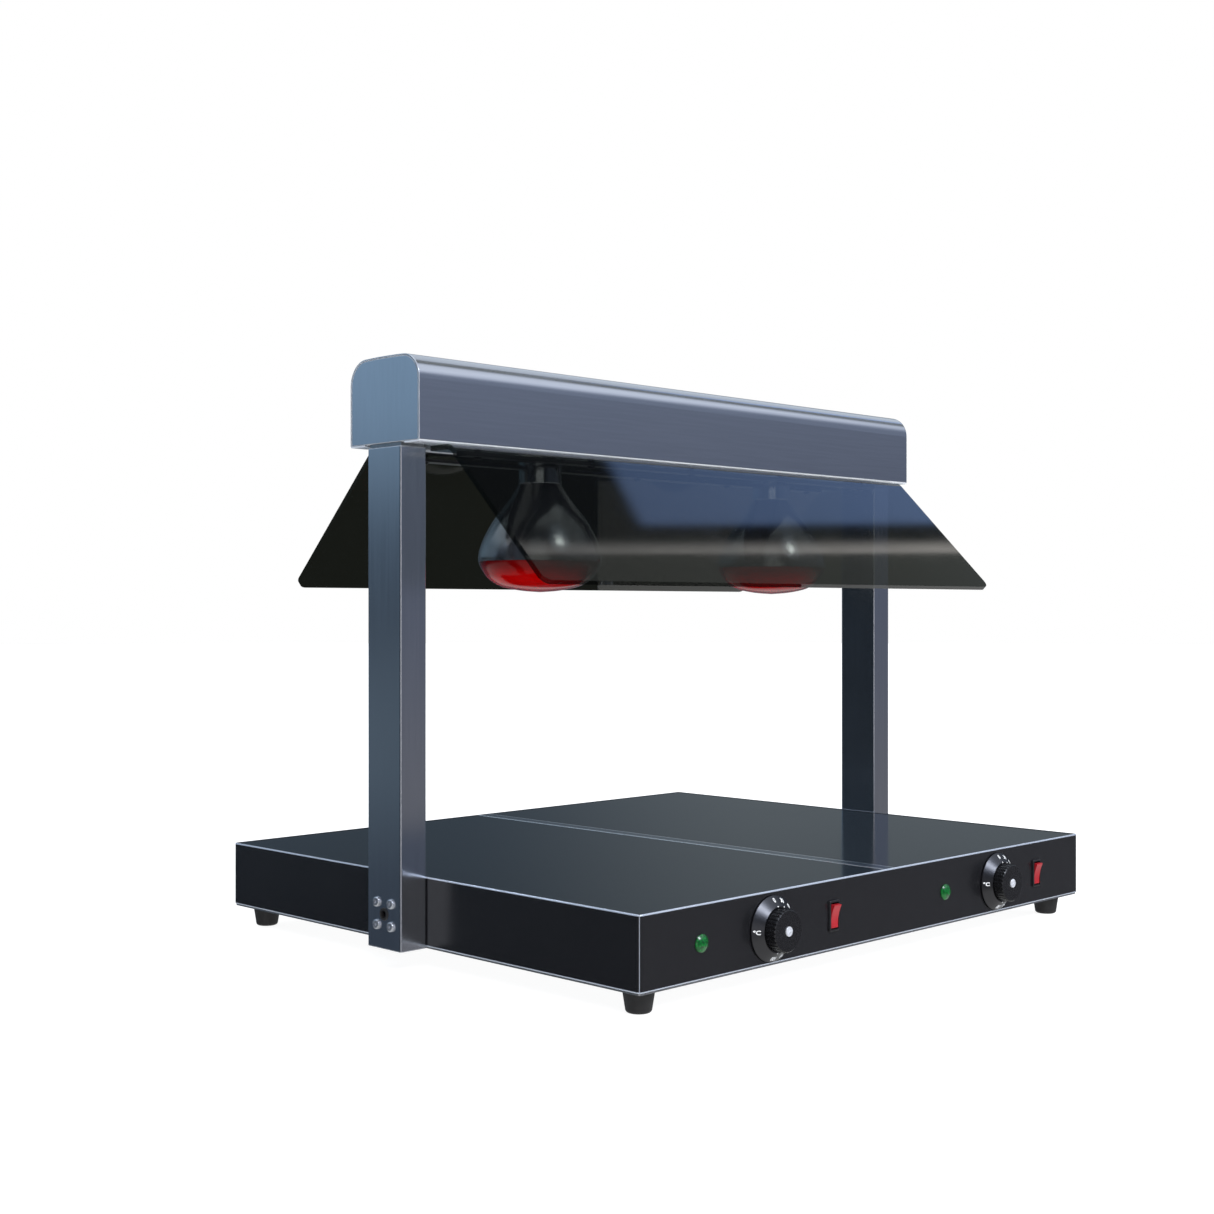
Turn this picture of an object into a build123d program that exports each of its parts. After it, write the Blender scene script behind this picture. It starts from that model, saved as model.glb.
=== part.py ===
"""Counter-top heat lamp warmer: a heated glass base, two posts and a canopy with two lamps.

Millimetres.  +X runs to the right along the front, the front faces -Y and +Z is up.
The origin is on the counter, under the centre of the base.
"""
from build123d import *
import os
from math import cos, radians, sin, tan

os.makedirs("parts", exist_ok=True)

# ---- driving dimensions: base -------------------------------------------------
base_width = 700.0
base_depth = 600.0
base_height = 66.3
foot_height = 21.0
sheet = 1.5
base_corner = 4.0
rim_width = 2.4
rim_height = 5.0
flange_width = 32.0
base_bottom = foot_height
base_top = base_bottom + base_height
casing_bottom = base_bottom + sheet
half_width = base_width / 2
half_depth = base_depth / 2
control_height = base_bottom + 32.8
foot_inset = 25.0
foot_points = [(x, y) for x in (-half_width + foot_inset, half_width - foot_inset)
               for y in (-half_depth + foot_inset, half_depth - foot_inset)]

# ---- heated plates ------------------------------------------------------------
glass_thickness = 4.0
plate_top = base_top - 0.4
plate_gap = 0.6
gasket_thickness = 1.0
ledge_top = plate_top - glass_thickness - gasket_thickness
ledge_width = 16.0
strip_width = 19.0
strip_gap = 0.75
bridge_half = 22.0
spreader_thickness = 2.0
mat_thickness = 2.0
insulation_thickness = 18.0
tray_sheet = 0.8
plate_inner = strip_width / 2 + strip_gap
plate_outer = half_width - rim_width - plate_gap
plate_half_depth = half_depth - rim_width - plate_gap
spreader_top = plate_top - glass_thickness
mat_top = spreader_top - spreader_thickness
insulation_top = mat_top - mat_thickness
insulation_bottom = insulation_top - insulation_thickness

# ---- front controls -----------------------------------------------------------
knob_places = (-181.5, 184.0)
switch_places = (-92.0, 262.0)
pilot_places = (-274.5, 90.5)
skirt_radius = 29.4
skirt_depth = 9.0
skirt_inner_radius = 20.6
grip_radius = 19.0
knob_depth = 19.5
shaft_radius = 3.0
running_gap = 0.05
bezel_width = 14.5
bezel_height = 28.5
bezel_depth = 2.0
rocker_width = 10.6
rocker_half_height = 11.3
rocker_tilt = 11.0
rocker_pivot = 2.2
lens_radius = 7.85

# ---- posts --------------------------------------------------------------------
post_x = 30.0
post_y = 50.0
post_wall = 1.5
post_top = 486.8
post_corner = 1.6
post_screw_spacing = 21.0
post_screw_height = base_bottom + 32.5
post_centre = half_width + post_x / 2
side_hole_radius = 7.0
wire_hole_radius = 4.5

# ---- canopy -------------------------------------------------------------------
canopy_length = 760.0
canopy_width = 103.5
canopy_bottom = 489.0
canopy_top = 571.5
canopy_crown = 1.6
canopy_corner = 24.0
slot_half = 30.0
lip_top = canopy_bottom + sheet
plate_half_length = 377.9
cap_gap = 0.3
cap_flange = 12.0

# ---- lamps --------------------------------------------------------------------
lamp_places = (-183.0, 183.0)
bulb_bottom = 353.5
bulb_wall = 1.3
neck_end = 143.0
cap_length = 27.0
bulb_length = 173.0
sleeve_radius = 21.5
sleeve_bottom = 462.5
sleeve_wall = 1.2

# ---- glass guards -------------------------------------------------------------
guard_thickness = 5.0
guard_bend = 61.0
guard_slope = 178.5
guard_flange_start = 31.0
guard_inner_bend_radius = 9.0
guard_corner = 10.0
rail_inner = 31.0
rail_outer = 49.0
rail_thickness = 3.0
clamp_screw_places = (-300.0, -150.0, 0.0, 150.0, 300.0)
clamp_line = 40.0
guard_top = canopy_bottom - gasket_thickness

sides = (("left", -1), ("right", 1))


def save(builder, name):
    """Label a finished piece and write it to its own STEP file."""
    builder.part.label = name
    export_step(builder.part, f"parts/{name}.step")


def standing_plane(x, y):
    """Plane for the half profile of a turned piece: local x is radius, local y is height."""
    return Plane(origin=(x, y, 0), x_dir=(1, 0, 0), z_dir=(0, -1, 0))


def standing_axis(x, y):
    return Axis((x, y, 0), (0, 0, 1))


def control_plane(x, z=control_height):
    """Plane for a turned control on the front panel: local y runs out of the panel."""
    return Plane(origin=(x, -half_depth, z), x_dir=(1, 0, 0), z_dir=(0, 0, -1))


def control_axis(x, z=control_height):
    return Axis((x, -half_depth, z), (0, -1, 0))


def front_face(depth=0.0):
    """Plane on the front panel, depth behind its outer face, looking out."""
    return Plane.XZ.offset(half_depth - depth)


# ================================================================ base casing
cover_screw_points = [(x, y) for x in (-half_width + foot_inset, half_width - foot_inset)
                      for y in (-150.0, 150.0)]
cover_screw_points += [(x, y) for x in (-210.0, 0.0, 210.0)
                       for y in (-half_depth + foot_inset, half_depth - foot_inset)]
cutout_margin = 0.4
casing_cut = sheet + 1.0
bushing_radius = 5.0
lens_shank_radius = 6.0
pilot_height = base_bottom + 32.7
switch_body_width = bezel_width - 2.4
switch_body_height = bezel_height - 1.6
gland_x = 250.0
gland_height = base_bottom + 24.0
gland_hole_radius = 8.0

with BuildPart() as base_casing:
    with BuildSketch(Plane.XY.offset(casing_bottom)):
        RectangleRounded(base_width, base_depth, base_corner)
    extrude(amount=base_top - casing_bottom)
    outer_rim = base_casing.faces().sort_by(Axis.Z)[-1].outer_wire().edges()
    fillet(outer_rim, 1.0)
    outer_foot = base_casing.faces().sort_by(Axis.Z)[0].outer_wire().edges()
    fillet(outer_foot, 1.2)
    with BuildSketch(Plane.XY.offset(casing_bottom + sheet)):
        RectangleRounded(base_width - 2 * sheet, base_depth - 2 * sheet, base_corner - sheet)
    extrude(amount=base_top - rim_height - casing_bottom - sheet, mode=Mode.SUBTRACT)
    with BuildSketch(Plane.XY.offset(base_top - rim_height)):
        RectangleRounded(base_width - 2 * rim_width, base_depth - 2 * rim_width, base_corner - sheet)
    extrude(amount=rim_height, mode=Mode.SUBTRACT)
    with BuildSketch(Plane.XY.offset(casing_bottom)):
        Rectangle(base_width - 2 * (sheet + flange_width), base_depth - 2 * (sheet + flange_width))
    extrude(amount=sheet, mode=Mode.SUBTRACT)
    with BuildSketch(Plane.XY.offset(casing_bottom)):
        with Locations(*foot_points):
            Circle(2.6)
        with Locations(*cover_screw_points):
            Circle(2.1)
    extrude(amount=sheet, mode=Mode.SUBTRACT)
    with BuildSketch(front_face()):
        with Locations(*[(x, control_height) for x in knob_places]):
            Circle(bushing_radius + 0.3)
        with Locations(*[(x, pilot_height) for x in pilot_places]):
            Circle(lens_shank_radius + 0.1)
        with Locations(*[(x, control_height) for x in switch_places]):
            Rectangle(switch_body_width + cutout_margin, switch_body_height + cutout_margin)
    extrude(amount=-casing_cut, mode=Mode.SUBTRACT)
    with BuildSketch(Plane.YZ):
        with Locations((0, post_screw_height)):
            Circle(side_hole_radius)
            with GridLocations(post_screw_spacing, post_screw_spacing, 2, 2):
                Circle(2.6)
    extrude(amount=half_width + 1, both=True, mode=Mode.SUBTRACT)
    with BuildSketch(Plane.XZ.offset(-half_depth)):
        with Locations((gland_x, gland_height)):
            Circle(gland_hole_radius)
        with Locations((-120, control_height)):
            with GridLocations(34, 12, 8, 3):
                SlotOverall(26, 4)
    extrude(amount=casing_cut, mode=Mode.SUBTRACT)
save(base_casing, "base_casing")

with BuildPart() as bottom_cover:
    with BuildSketch(Plane.XY.offset(base_bottom)):
        RectangleRounded(base_width - 1.6, base_depth - 1.6, base_corner)
        with Locations(*foot_points):
            Circle(2.6, mode=Mode.SUBTRACT)
        with Locations(*cover_screw_points):
            Circle(2.1, mode=Mode.SUBTRACT)
        for vent_x in (-170, 170):
            with Locations((vent_x, 0)):
                with GridLocations(44, 18, 4, 6):
                    SlotOverall(34, 6, mode=Mode.SUBTRACT)
    extrude(amount=sheet)
save(bottom_cover, "bottom_cover")

# ================================================================ plate support frame
frame_outer_x = base_width - 2 * sheet
frame_outer_y = base_depth - 2 * sheet
ledge_bottom = ledge_top - sheet
leg_height = 10.0
web_height = 14.0
tray_screw_points = [(x, y) for x in (-337.0, -17.0, 17.0, 337.0) for y in (-150.0, 200.0)]

with BuildPart() as plate_support_frame:
    with BuildSketch(Plane.XY.offset(ledge_bottom)):
        RectangleRounded(frame_outer_x, frame_outer_y, base_corner - sheet)
        opening = half_width - sheet - ledge_width - bridge_half
        with Locations(*[(s * (bridge_half + opening / 2), 0) for s in (-1, 1)]):
            Rectangle(opening, frame_outer_y - 2 * ledge_width, mode=Mode.SUBTRACT)
        with Locations(*tray_screw_points):
            Circle(2.1, mode=Mode.SUBTRACT)
    extrude(amount=sheet)
    with BuildSketch(Plane.XY.offset(ledge_bottom - leg_height)):
        RectangleRounded(frame_outer_x, frame_outer_y, base_corner - sheet)
        Rectangle(frame_outer_x - 2 * sheet, frame_outer_y - 2 * sheet, mode=Mode.SUBTRACT)
    extrude(amount=leg_height)
    with BuildSketch(Plane.XY.offset(ledge_bottom - web_height)):
        Rectangle(sheet, frame_outer_y - 2 * sheet)
    extrude(amount=web_height)
save(plate_support_frame, "plate_support_frame")

# ================================================================ hot plates and what is under them
plate_width = plate_outer - plate_inner
plate_middle = (plate_outer + plate_inner) / 2
plate_depth = 2 * plate_half_depth
spreader_inner = bridge_half + 2
spreader_outer = half_width - sheet - ledge_width - 2
spreader_width = spreader_outer - spreader_inner
spreader_middle = (spreader_outer + spreader_inner) / 2

for side, sign in sides:
    with BuildPart() as hot_plate:
        with BuildSketch(Plane.XY.offset(plate_top - glass_thickness)):
            with Locations((sign * plate_middle, 0)):
                RectangleRounded(plate_width, plate_depth, 2.5)
        extrude(amount=glass_thickness)
        chamfer(hot_plate.faces().sort_by(Axis.Z)[-1].edges(), 0.4)
    save(hot_plate, f"hot_plate_{side}")

with BuildPart() as plate_gaskets:
    with BuildSketch(Plane.XY.offset(ledge_top)):
        with Locations((-plate_middle, 0), (plate_middle, 0)):
            RectangleRounded(plate_width, plate_depth, 2.5)
            Rectangle(plate_width - 20, plate_depth - 24, mode=Mode.SUBTRACT)
    extrude(amount=gasket_thickness)
save(plate_gaskets, "plate_gaskets")

with BuildPart() as divider_strip:
    with BuildSketch(Plane.XZ):
        with BuildLine():
            Polyline(
                (-1.5, ledge_top), (1.5, ledge_top), (1.5, plate_top - 2), (strip_width / 2, plate_top - 2),
                (strip_width / 2, plate_top + 0.2), (-strip_width / 2, plate_top + 0.2),
                (-strip_width / 2, plate_top - 2), (-1.5, plate_top - 2), close=True,
            )
        make_face()
    extrude(amount=plate_half_depth, both=True)
    fillet(divider_strip.faces().sort_by(Axis.Z)[-1].edges().filter_by(Axis.Y), 0.4)
save(divider_strip, "divider_strip")

with BuildPart() as heat_spreaders:
    with BuildSketch(Plane.XY.offset(mat_top)):
        with Locations((-spreader_middle, 0), (spreader_middle, 0)):
            RectangleRounded(spreader_width, 560, 6)
    extrude(amount=spreader_thickness)
save(heat_spreaders, "heat_spreaders")

mat_width = spreader_width - 20
mat_front = -265.0
insulation_front = -235.0
insulation_back = 275.0
insulation_width = spreader_width - 8
insulation_centre_y = (insulation_front + insulation_back) / 2
insulation_length = insulation_back - insulation_front
mat_terminal_y = -253.0
mat_terminal_height = 4.0
mat_terminal_places = [(s * spreader_middle + 60, mat_terminal_y) for s in (-1, 1)]

with BuildPart() as heating_mats:
    with BuildSketch(Plane.XY.offset(insulation_top)):
        with Locations((-spreader_middle, 0), (spreader_middle, 0)):
            RectangleRounded(mat_width, -2 * mat_front, 8)
    extrude(amount=mat_thickness)
    with BuildSketch(Plane.XY.offset(insulation_top)):
        with Locations(*mat_terminal_places):
            Rectangle(24, 16)
    extrude(amount=-mat_terminal_height)
save(heating_mats, "heating_mats")

sensor_radius = 2.5
sensor_length = 90.0
sensor_start_y = insulation_front + 2
groove_depth = 6.0
groove_width = 8.0

with BuildPart() as insulation_boards:
    with BuildSketch(Plane.XY.offset(insulation_bottom)):
        with Locations(*[(s * spreader_middle, insulation_centre_y) for s in (-1, 1)]):
            Rectangle(insulation_width, insulation_length)
    extrude(amount=insulation_thickness)
    with BuildSketch(Plane.XY.offset(insulation_top)):
        with Locations(*[(x, insulation_front + 50) for x in knob_places]):
            Rectangle(groove_width, 100)
    extrude(amount=-groove_depth, mode=Mode.SUBTRACT)
save(insulation_boards, "insulation_boards")

tray_bottom = insulation_bottom - tray_sheet
tray_inner = bridge_half + 5
tray_flange_inner = 8.0
tray_flange_outer = half_width - sheet * 2 - 1
tray_outer_width = insulation_width + 2 * tray_sheet
tray_outer_length = insulation_length + 2 * tray_sheet

with BuildPart() as insulation_trays:
    for sign in (-1, 1):
        with BuildSketch(Plane.XY.offset(tray_bottom)):
            with Locations((sign * spreader_middle, insulation_centre_y)):
                Rectangle(tray_outer_width, tray_outer_length)
        extrude(amount=ledge_bottom - tray_bottom)
        with BuildSketch(Plane.XY.offset(ledge_bottom)):
            with Locations((sign * (tray_flange_inner + tray_flange_outer) / 2, insulation_centre_y)):
                Rectangle(tray_flange_outer - tray_flange_inner, tray_outer_length - 60)
        extrude(amount=-tray_sheet)
    with BuildSketch(Plane.XY.offset(insulation_bottom)):
        with Locations(*[(s * spreader_middle, insulation_centre_y) for s in (-1, 1)]):
            Rectangle(insulation_width, insulation_length)
    extrude(amount=ledge_bottom - insulation_bottom, mode=Mode.SUBTRACT)
    with BuildSketch(Plane.XY.offset(insulation_top)):
        with Locations((0, insulation_front)):
            Rectangle(base_width, 4)
    extrude(amount=ledge_bottom - insulation_top, mode=Mode.SUBTRACT)
    with BuildSketch(Plane.XY.offset(insulation_top)):
        with Locations(*[(x, insulation_front) for x in knob_places]):
            Rectangle(groove_width, 4)
    extrude(amount=-groove_depth, mode=Mode.SUBTRACT)
    with BuildSketch(Plane.XY.offset(ledge_bottom - tray_sheet)):
        with Locations(*tray_screw_points):
            Circle(2.1)
    extrude(amount=tray_sheet, mode=Mode.SUBTRACT)
save(insulation_trays, "insulation_trays")

# ================================================================ fasteners of the base


def pan_screw(x, y, seat, head_radius, head_height, shank_radius, length):
    """Upward screw with its head under the seat height; a cross recess is cut in the head."""
    with BuildPart() as screw:
        with BuildSketch(standing_plane(x, y)):
            with BuildLine():
                Polyline(
                    (0, seat - head_height), (head_radius * 0.7, seat - head_height),
                    (head_radius, seat - head_height * 0.45), (head_radius, seat),
                    (shank_radius, seat), (shank_radius, seat + length), (0, seat + length), close=True,
                )
            make_face()
        revolve(axis=standing_axis(x, y))
        with BuildSketch(Plane.XY.offset(seat - head_height)):
            with Locations((x, y)):
                Rectangle(head_radius * 1.1, head_radius * 0.28)
                Rectangle(head_radius * 0.28, head_radius * 1.1)
        extrude(amount=head_height * 0.5, mode=Mode.SUBTRACT)
    return screw.part


with BuildPart() as casing_screws:
    for x, y in cover_screw_points:
        add(pan_screw(x, y, base_bottom, 3.8, 2.2, 1.95, 10))
    for x, y in tray_screw_points:
        add(pan_screw(x, y, ledge_bottom - tray_sheet, 3.8, 2.2, 1.95, 2.1))
save(casing_screws, "casing_screws")

foot_top_radius = 14.35
foot_bottom_radius = 11.0
foot_head_seat = 12.0
with BuildPart() as rubber_feet:
    for x, y in foot_points:
        with BuildSketch(standing_plane(x, y)) as foot_profile:
            with BuildLine():
                Polyline(
                    (2.6, base_bottom), (foot_top_radius, base_bottom), (foot_bottom_radius, 0),
                    (5.5, 0), (5.5, foot_head_seat), (2.6, foot_head_seat), close=True,
                )
            make_face()
            foot_edge = foot_profile.vertices().sort_by_distance((foot_bottom_radius, 0))[0]
            fillet(foot_edge, 3.0)
            foot_shoulder = foot_profile.vertices().sort_by_distance((foot_top_radius, base_bottom))[0]
            fillet(foot_shoulder, 1.0)
        revolve(axis=standing_axis(x, y))
save(rubber_feet, "rubber_feet")

with BuildPart() as foot_screws:
    for x, y in foot_points:
        add(pan_screw(x, y, foot_head_seat, 4.6, 2.8, 2.45, 18))
save(foot_screws, "foot_screws")

# ================================================================ thermostats and knobs
thermostat_width = 44.0
thermostat_height = 32.0
thermostat_depth = 34.0
panel_back = sheet

with BuildPart() as thermostats:
    for x in knob_places:
        with BuildSketch(front_face(panel_back)):
            with Locations((x, control_height)):
                RectangleRounded(60, 24, 3)
        extrude(amount=-1.2)
        with BuildSketch(front_face(panel_back + 1.2)):
            with Locations((x, control_height)):
                RectangleRounded(thermostat_width, thermostat_height, 2)
        extrude(amount=-thermostat_depth)
        with BuildSketch(front_face(panel_back)):
            with Locations((x, control_height)):
                Circle(bushing_radius)
        extrude(amount=3.5)
        with BuildSketch(front_face(panel_back + 1.2 + thermostat_depth)):
            with Locations((x, control_height)):
                with GridLocations(14, 12, 3, 2):
                    Rectangle(6.3, 0.8)
        extrude(amount=-9)
        with BuildSketch(front_face(-2.0)):
            with Locations((x, control_height)):
                Circle(shaft_radius + running_gap)
        extrude(amount=-30, mode=Mode.SUBTRACT)
save(thermostats, "thermostats")

shaft_back = 24.0
shaft_front = 15.0
grip_wall = 2.2
hub_radius = 6.5
knob_back = 3.0
rib_count = 30
flat_offset = 1.6

for (side, _), x in zip(sides, knob_places):
    with BuildPart() as shaft:
        with BuildSketch(front_face(shaft_back)):
            with Locations((x, control_height)):
                Circle(shaft_radius)
        extrude(amount=shaft_back + shaft_front)
        with BuildSketch(front_face(-knob_back - 1)):
            with Locations((x, control_height + flat_offset + 3)):
                Rectangle(8, 6)
        extrude(amount=shaft_front, mode=Mode.SUBTRACT)
        with BuildSketch(front_face(-shaft_front)):
            with Locations((x, control_height)):
                Circle(1.5)
        extrude(amount=-9, mode=Mode.SUBTRACT)
    save(shaft, f"thermostat_shaft_{side}")

    with BuildPart() as dial_skirt:
        with BuildSketch(control_plane(x)):
            with BuildLine():
                Polyline(
                    (skirt_radius - 3, 0.8), (skirt_radius, 0.8), (skirt_radius, 1.8),
                    (skirt_inner_radius, skirt_depth), (grip_radius + 0.2, skirt_depth),
                    (grip_radius + 0.2, skirt_depth - 3.0), close=True,
                )
            make_face()
        revolve(axis=control_axis(x))
    save(dial_skirt, f"dial_skirt_{side}")

    with BuildPart() as knob:
        with BuildSketch(control_plane(x)) as knob_profile:
            with BuildLine():
                Polyline(
                    (0, knob_depth - 3), (grip_radius - grip_wall, knob_depth - 3),
                    (grip_radius - grip_wall, skirt_depth - 4.0), (grip_radius - 0.2, skirt_depth - 4.0),
                    (grip_radius, knob_depth), (0, knob_depth), close=True,
                )
            make_face()
            front_edge = knob_profile.vertices().sort_by_distance((grip_radius, knob_depth))[0]
            chamfer(front_edge, 1.0)
        revolve(axis=control_axis(x))
        with BuildSketch(front_face(-knob_back)):
            with Locations((x, control_height)):
                Circle(hub_radius)
                Circle(shaft_radius + running_gap, mode=Mode.SUBTRACT)
        extrude(amount=knob_depth - knob_back - 3)
        with BuildSketch(front_face(-knob_back - 1)):
            with Locations((x, control_height + (flat_offset + running_gap + shaft_radius + 0.6) / 2)):
                Rectangle(2 * shaft_radius + 0.4, shaft_radius + 0.6 - flat_offset - running_gap)
        extrude(amount=knob_depth - knob_back - 4)
        with BuildSketch(front_face(-knob_depth)):
            with Locations((x, control_height)):
                Circle(1.6)
        extrude(amount=-4, mode=Mode.SUBTRACT)
        with BuildSketch(front_face(-skirt_depth - 0.5)):
            with Locations((x, control_height)):
                with PolarLocations(grip_radius + 0.5, rib_count):
                    Circle(1.35)
        extrude(amount=knob_depth, mode=Mode.SUBTRACT)
    save(knob, f"knob_{side}")

    with BuildPart() as knob_screw:
        with BuildSketch(front_face(-knob_depth)):
            with Locations((x, control_height)):
                Circle(4.4)
        extrude(amount=1.3)
        fillet(knob_screw.faces().sort_by(Axis.Y)[0].edges(), 0.6)
        with BuildSketch(front_face(-knob_depth)):
            with Locations((x, control_height)):
                Circle(1.45)
        extrude(amount=-12)
        with BuildSketch(front_face(-knob_depth - 1.3)):
            with Locations((x, control_height)):
                Rectangle(6.0, 0.9, rotation=35)
        extrude(amount=-0.7, mode=Mode.SUBTRACT)
    save(knob_screw, f"knob_screw_{side}")

with BuildPart() as capillary_sensors:
    for x in knob_places:
        with BuildSketch(Plane.XZ.offset(-sensor_start_y)):
            with Locations((x, insulation_top - sensor_radius - 0.2)):
                Circle(sensor_radius)
        extrude(amount=-sensor_length)
        start = (x, -half_depth + 20, control_height + thermostat_height / 2)
        finish = (x, sensor_start_y, insulation_top - sensor_radius - 0.2)
        with BuildLine() as tube_path:
            Spline(start, (x + 8, -half_depth + 38, start[2] + 3.2), finish, tangents=((0, 0, 1), (0, 1, 0)))
        with BuildSketch(Plane(origin=start, z_dir=(0, 0, 1))):
            Circle(0.7)
        sweep(path=tube_path.line)
save(capillary_sensors, "capillary_sensors")

# ================================================================ rocker switches
window_half_width = rocker_width / 2 + 0.35
window_half_height = 12.4
switch_depth = 22.0
rocker_pivot_y = -half_depth - bezel_depth + rocker_pivot
trunnion_radius = 1.5
trunnion_length = 0.3
rocker_line = (0, -sin(radians(rocker_tilt)), cos(radians(rocker_tilt)))

with BuildPart() as switch_housings:
    for x in switch_places:
        with BuildSketch(front_face()):
            with Locations((x, control_height)):
                RectangleRounded(bezel_width, bezel_height, 1.2)
        extrude(amount=bezel_depth)
        with BuildSketch(front_face()):
            with Locations((x, control_height)):
                Rectangle(switch_body_width, switch_body_height)
        extrude(amount=-switch_depth)
        with BuildSketch(front_face(-bezel_depth)):
            with Locations((x, control_height)):
                Rectangle(2 * window_half_width, 2 * window_half_height)
        extrude(amount=-(switch_depth + bezel_depth - 3), mode=Mode.SUBTRACT)
        with BuildSketch(Plane.YZ.offset(x)):
            with Locations((rocker_pivot_y, control_height)):
                Circle(trunnion_radius + running_gap)
        extrude(amount=window_half_width + trunnion_length + 0.05, both=True, mode=Mode.SUBTRACT)
    bezel_front = switch_housings.faces().filter_by(Axis.Y).group_by(Axis.Y)[0]
    chamfer([face.outer_wire().edges() for face in bezel_front], 0.5)
save(switch_housings, "switch_housings")

with BuildPart() as switch_terminals:
    with BuildSketch(front_face(switch_depth)):
        for x in switch_places:
            with Locations((x, control_height)):
                with GridLocations(6, 10, 2, 2):
                    Rectangle(0.8, 4.8)
    extrude(amount=-9)
save(switch_terminals, "switch_terminals")

for (side, _), x in zip(sides, switch_places):
    with BuildPart() as rocker:
        tilted = Plane(origin=(x, rocker_pivot_y, control_height), x_dir=rocker_line, z_dir=(1, 0, 0))
        with BuildSketch(tilted) as rocker_profile:
            with BuildLine():
                ThreePointArc((-rocker_half_height, 3.9), (0, 2.3), (rocker_half_height, 3.9))
                Polyline((rocker_half_height, 3.9), (rocker_half_height - 0.6, -0.8), (6, -5.0),
                         (-6, -5.0), (-rocker_half_height + 0.6, -0.8), (-rocker_half_height, 3.9))
            make_face()
            tips = rocker_profile.vertices().group_by(Axis.Y)[-1]
            fillet(tips, 0.7)
        extrude(amount=rocker_width / 2, both=True)
        with BuildSketch(tilted):
            Circle(trunnion_radius)
        extrude(amount=window_half_width + trunnion_length, both=True)
    save(rocker, f"rocker_{side}")

# ================================================================ pilot lights
lens_rim = 1.0
lens_dome = 3.2
dome_radius = (lens_radius ** 2 + lens_dome ** 2) / (2 * lens_dome)
with BuildPart() as pilot_lenses:
    for x in pilot_places:
        with BuildSketch(control_plane(x, pilot_height)):
            with BuildLine():
                Polyline((0, lens_rim + lens_dome), (0, -8), (lens_shank_radius, -8), (lens_shank_radius, 0),
                         (lens_radius, 0))
                Line((lens_radius, 0), (lens_radius, lens_rim))
                RadiusArc((lens_radius, lens_rim), (0, lens_rim + lens_dome), -dome_radius)
            make_face()
        revolve(axis=control_axis(x, pilot_height))
save(pilot_lenses, "pilot_lenses")

with BuildPart() as pilot_bodies:
    for x in pilot_places:
        with BuildSketch(control_plane(x, pilot_height)):
            with BuildLine():
                Polyline(
                    (0, -8.2), (lens_shank_radius + 0.1, -8.2), (lens_shank_radius + 0.1, -sheet),
                    (9.0, -sheet), (9.0, -5.0), (7.6, -5.0), (7.6, -26.0), (0, -26.0), close=True,
                )
            make_face()
        revolve(axis=control_axis(x, pilot_height))
        with BuildSketch(front_face(26.0)):
            with Locations((x, pilot_height)):
                with GridLocations(7, 1, 2, 1):
                    Rectangle(0.8, 4.8)
        extrude(amount=-8)
save(pilot_bodies, "pilot_bodies")

# ================================================================ posts
screw_shank = 2.45
eyelet_radius = 4.4
nut_plate_thickness = 3.0
nut_plate_width = 44.0
nut_plate_height = 33.0

for side, sign in sides:
    with BuildPart() as post:
        with BuildSketch(Plane.XY.offset(base_bottom)):
            with Locations((sign * post_centre, 0)):
                RectangleRounded(post_x, post_y, post_corner)
                Rectangle(post_x - 2 * post_wall, post_y - 2 * post_wall, mode=Mode.SUBTRACT)
        extrude(amount=post_top - base_bottom)
        with BuildSketch(Plane.YZ.offset(sign * half_width - sign)):
            with Locations((0, post_screw_height)):
                Circle(side_hole_radius)
                with GridLocations(post_screw_spacing, post_screw_spacing, 2, 2):
                    Circle(screw_shank + 0.15)
        extrude(amount=sign * (post_wall + 1.5), mode=Mode.SUBTRACT)
        with BuildSketch(Plane.YZ.offset(sign * (half_width + post_x / 2))):
            with Locations((0, post_screw_height)):
                Circle(eyelet_radius + 0.1)
                with GridLocations(post_screw_spacing, post_screw_spacing, 2, 2):
                    Circle(screw_shank + 0.15)
        extrude(amount=sign * post_x, mode=Mode.SUBTRACT)
    save(post, f"post_{side}")

with BuildPart() as post_screws:
    for sign in (-1, 1):
        outer = Plane.YZ.offset(sign * (half_width + post_x))
        with BuildSketch(outer):
            with Locations((0, post_screw_height)):
                with GridLocations(post_screw_spacing, post_screw_spacing, 2, 2):
                    Circle(4.65)
        extrude(amount=sign * 2.4)
        with BuildSketch(outer):
            with Locations((0, post_screw_height)):
                with GridLocations(post_screw_spacing, post_screw_spacing, 2, 2):
                    Circle(screw_shank)
        extrude(amount=-sign * 37)
    heads = post_screws.faces().filter_by(Axis.X).group_by(Axis.X)
    fillet([face.edges() for face in heads[0] + heads[-1]], 1.4)
    for sign in (-1, 1):
        with BuildSketch(Plane.YZ.offset(sign * (half_width + post_x + 2.4))):
            with Locations((0, post_screw_height)):
                with GridLocations(post_screw_spacing, post_screw_spacing, 2, 2):
                    RegularPolygon(1.75, 6)
        extrude(amount=-sign * 1.6, mode=Mode.SUBTRACT)
save(post_screws, "post_screws")

with BuildPart() as post_nut_plates:
    with BuildSketch(Plane.YZ):
        with Locations((0, post_screw_height)):
            Rectangle(nut_plate_width, nut_plate_height)
            Circle(side_hole_radius + 1, mode=Mode.SUBTRACT)
            with GridLocations(post_screw_spacing, post_screw_spacing, 2, 2):
                Circle(screw_shank + 0.05, mode=Mode.SUBTRACT)
    extrude(amount=half_width - sheet, both=True)
    with BuildSketch(Plane.YZ):
        Rectangle(100, 300)
    extrude(amount=half_width - sheet - nut_plate_thickness, both=True, mode=Mode.SUBTRACT)
save(post_nut_plates, "post_nut_plates")

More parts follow.
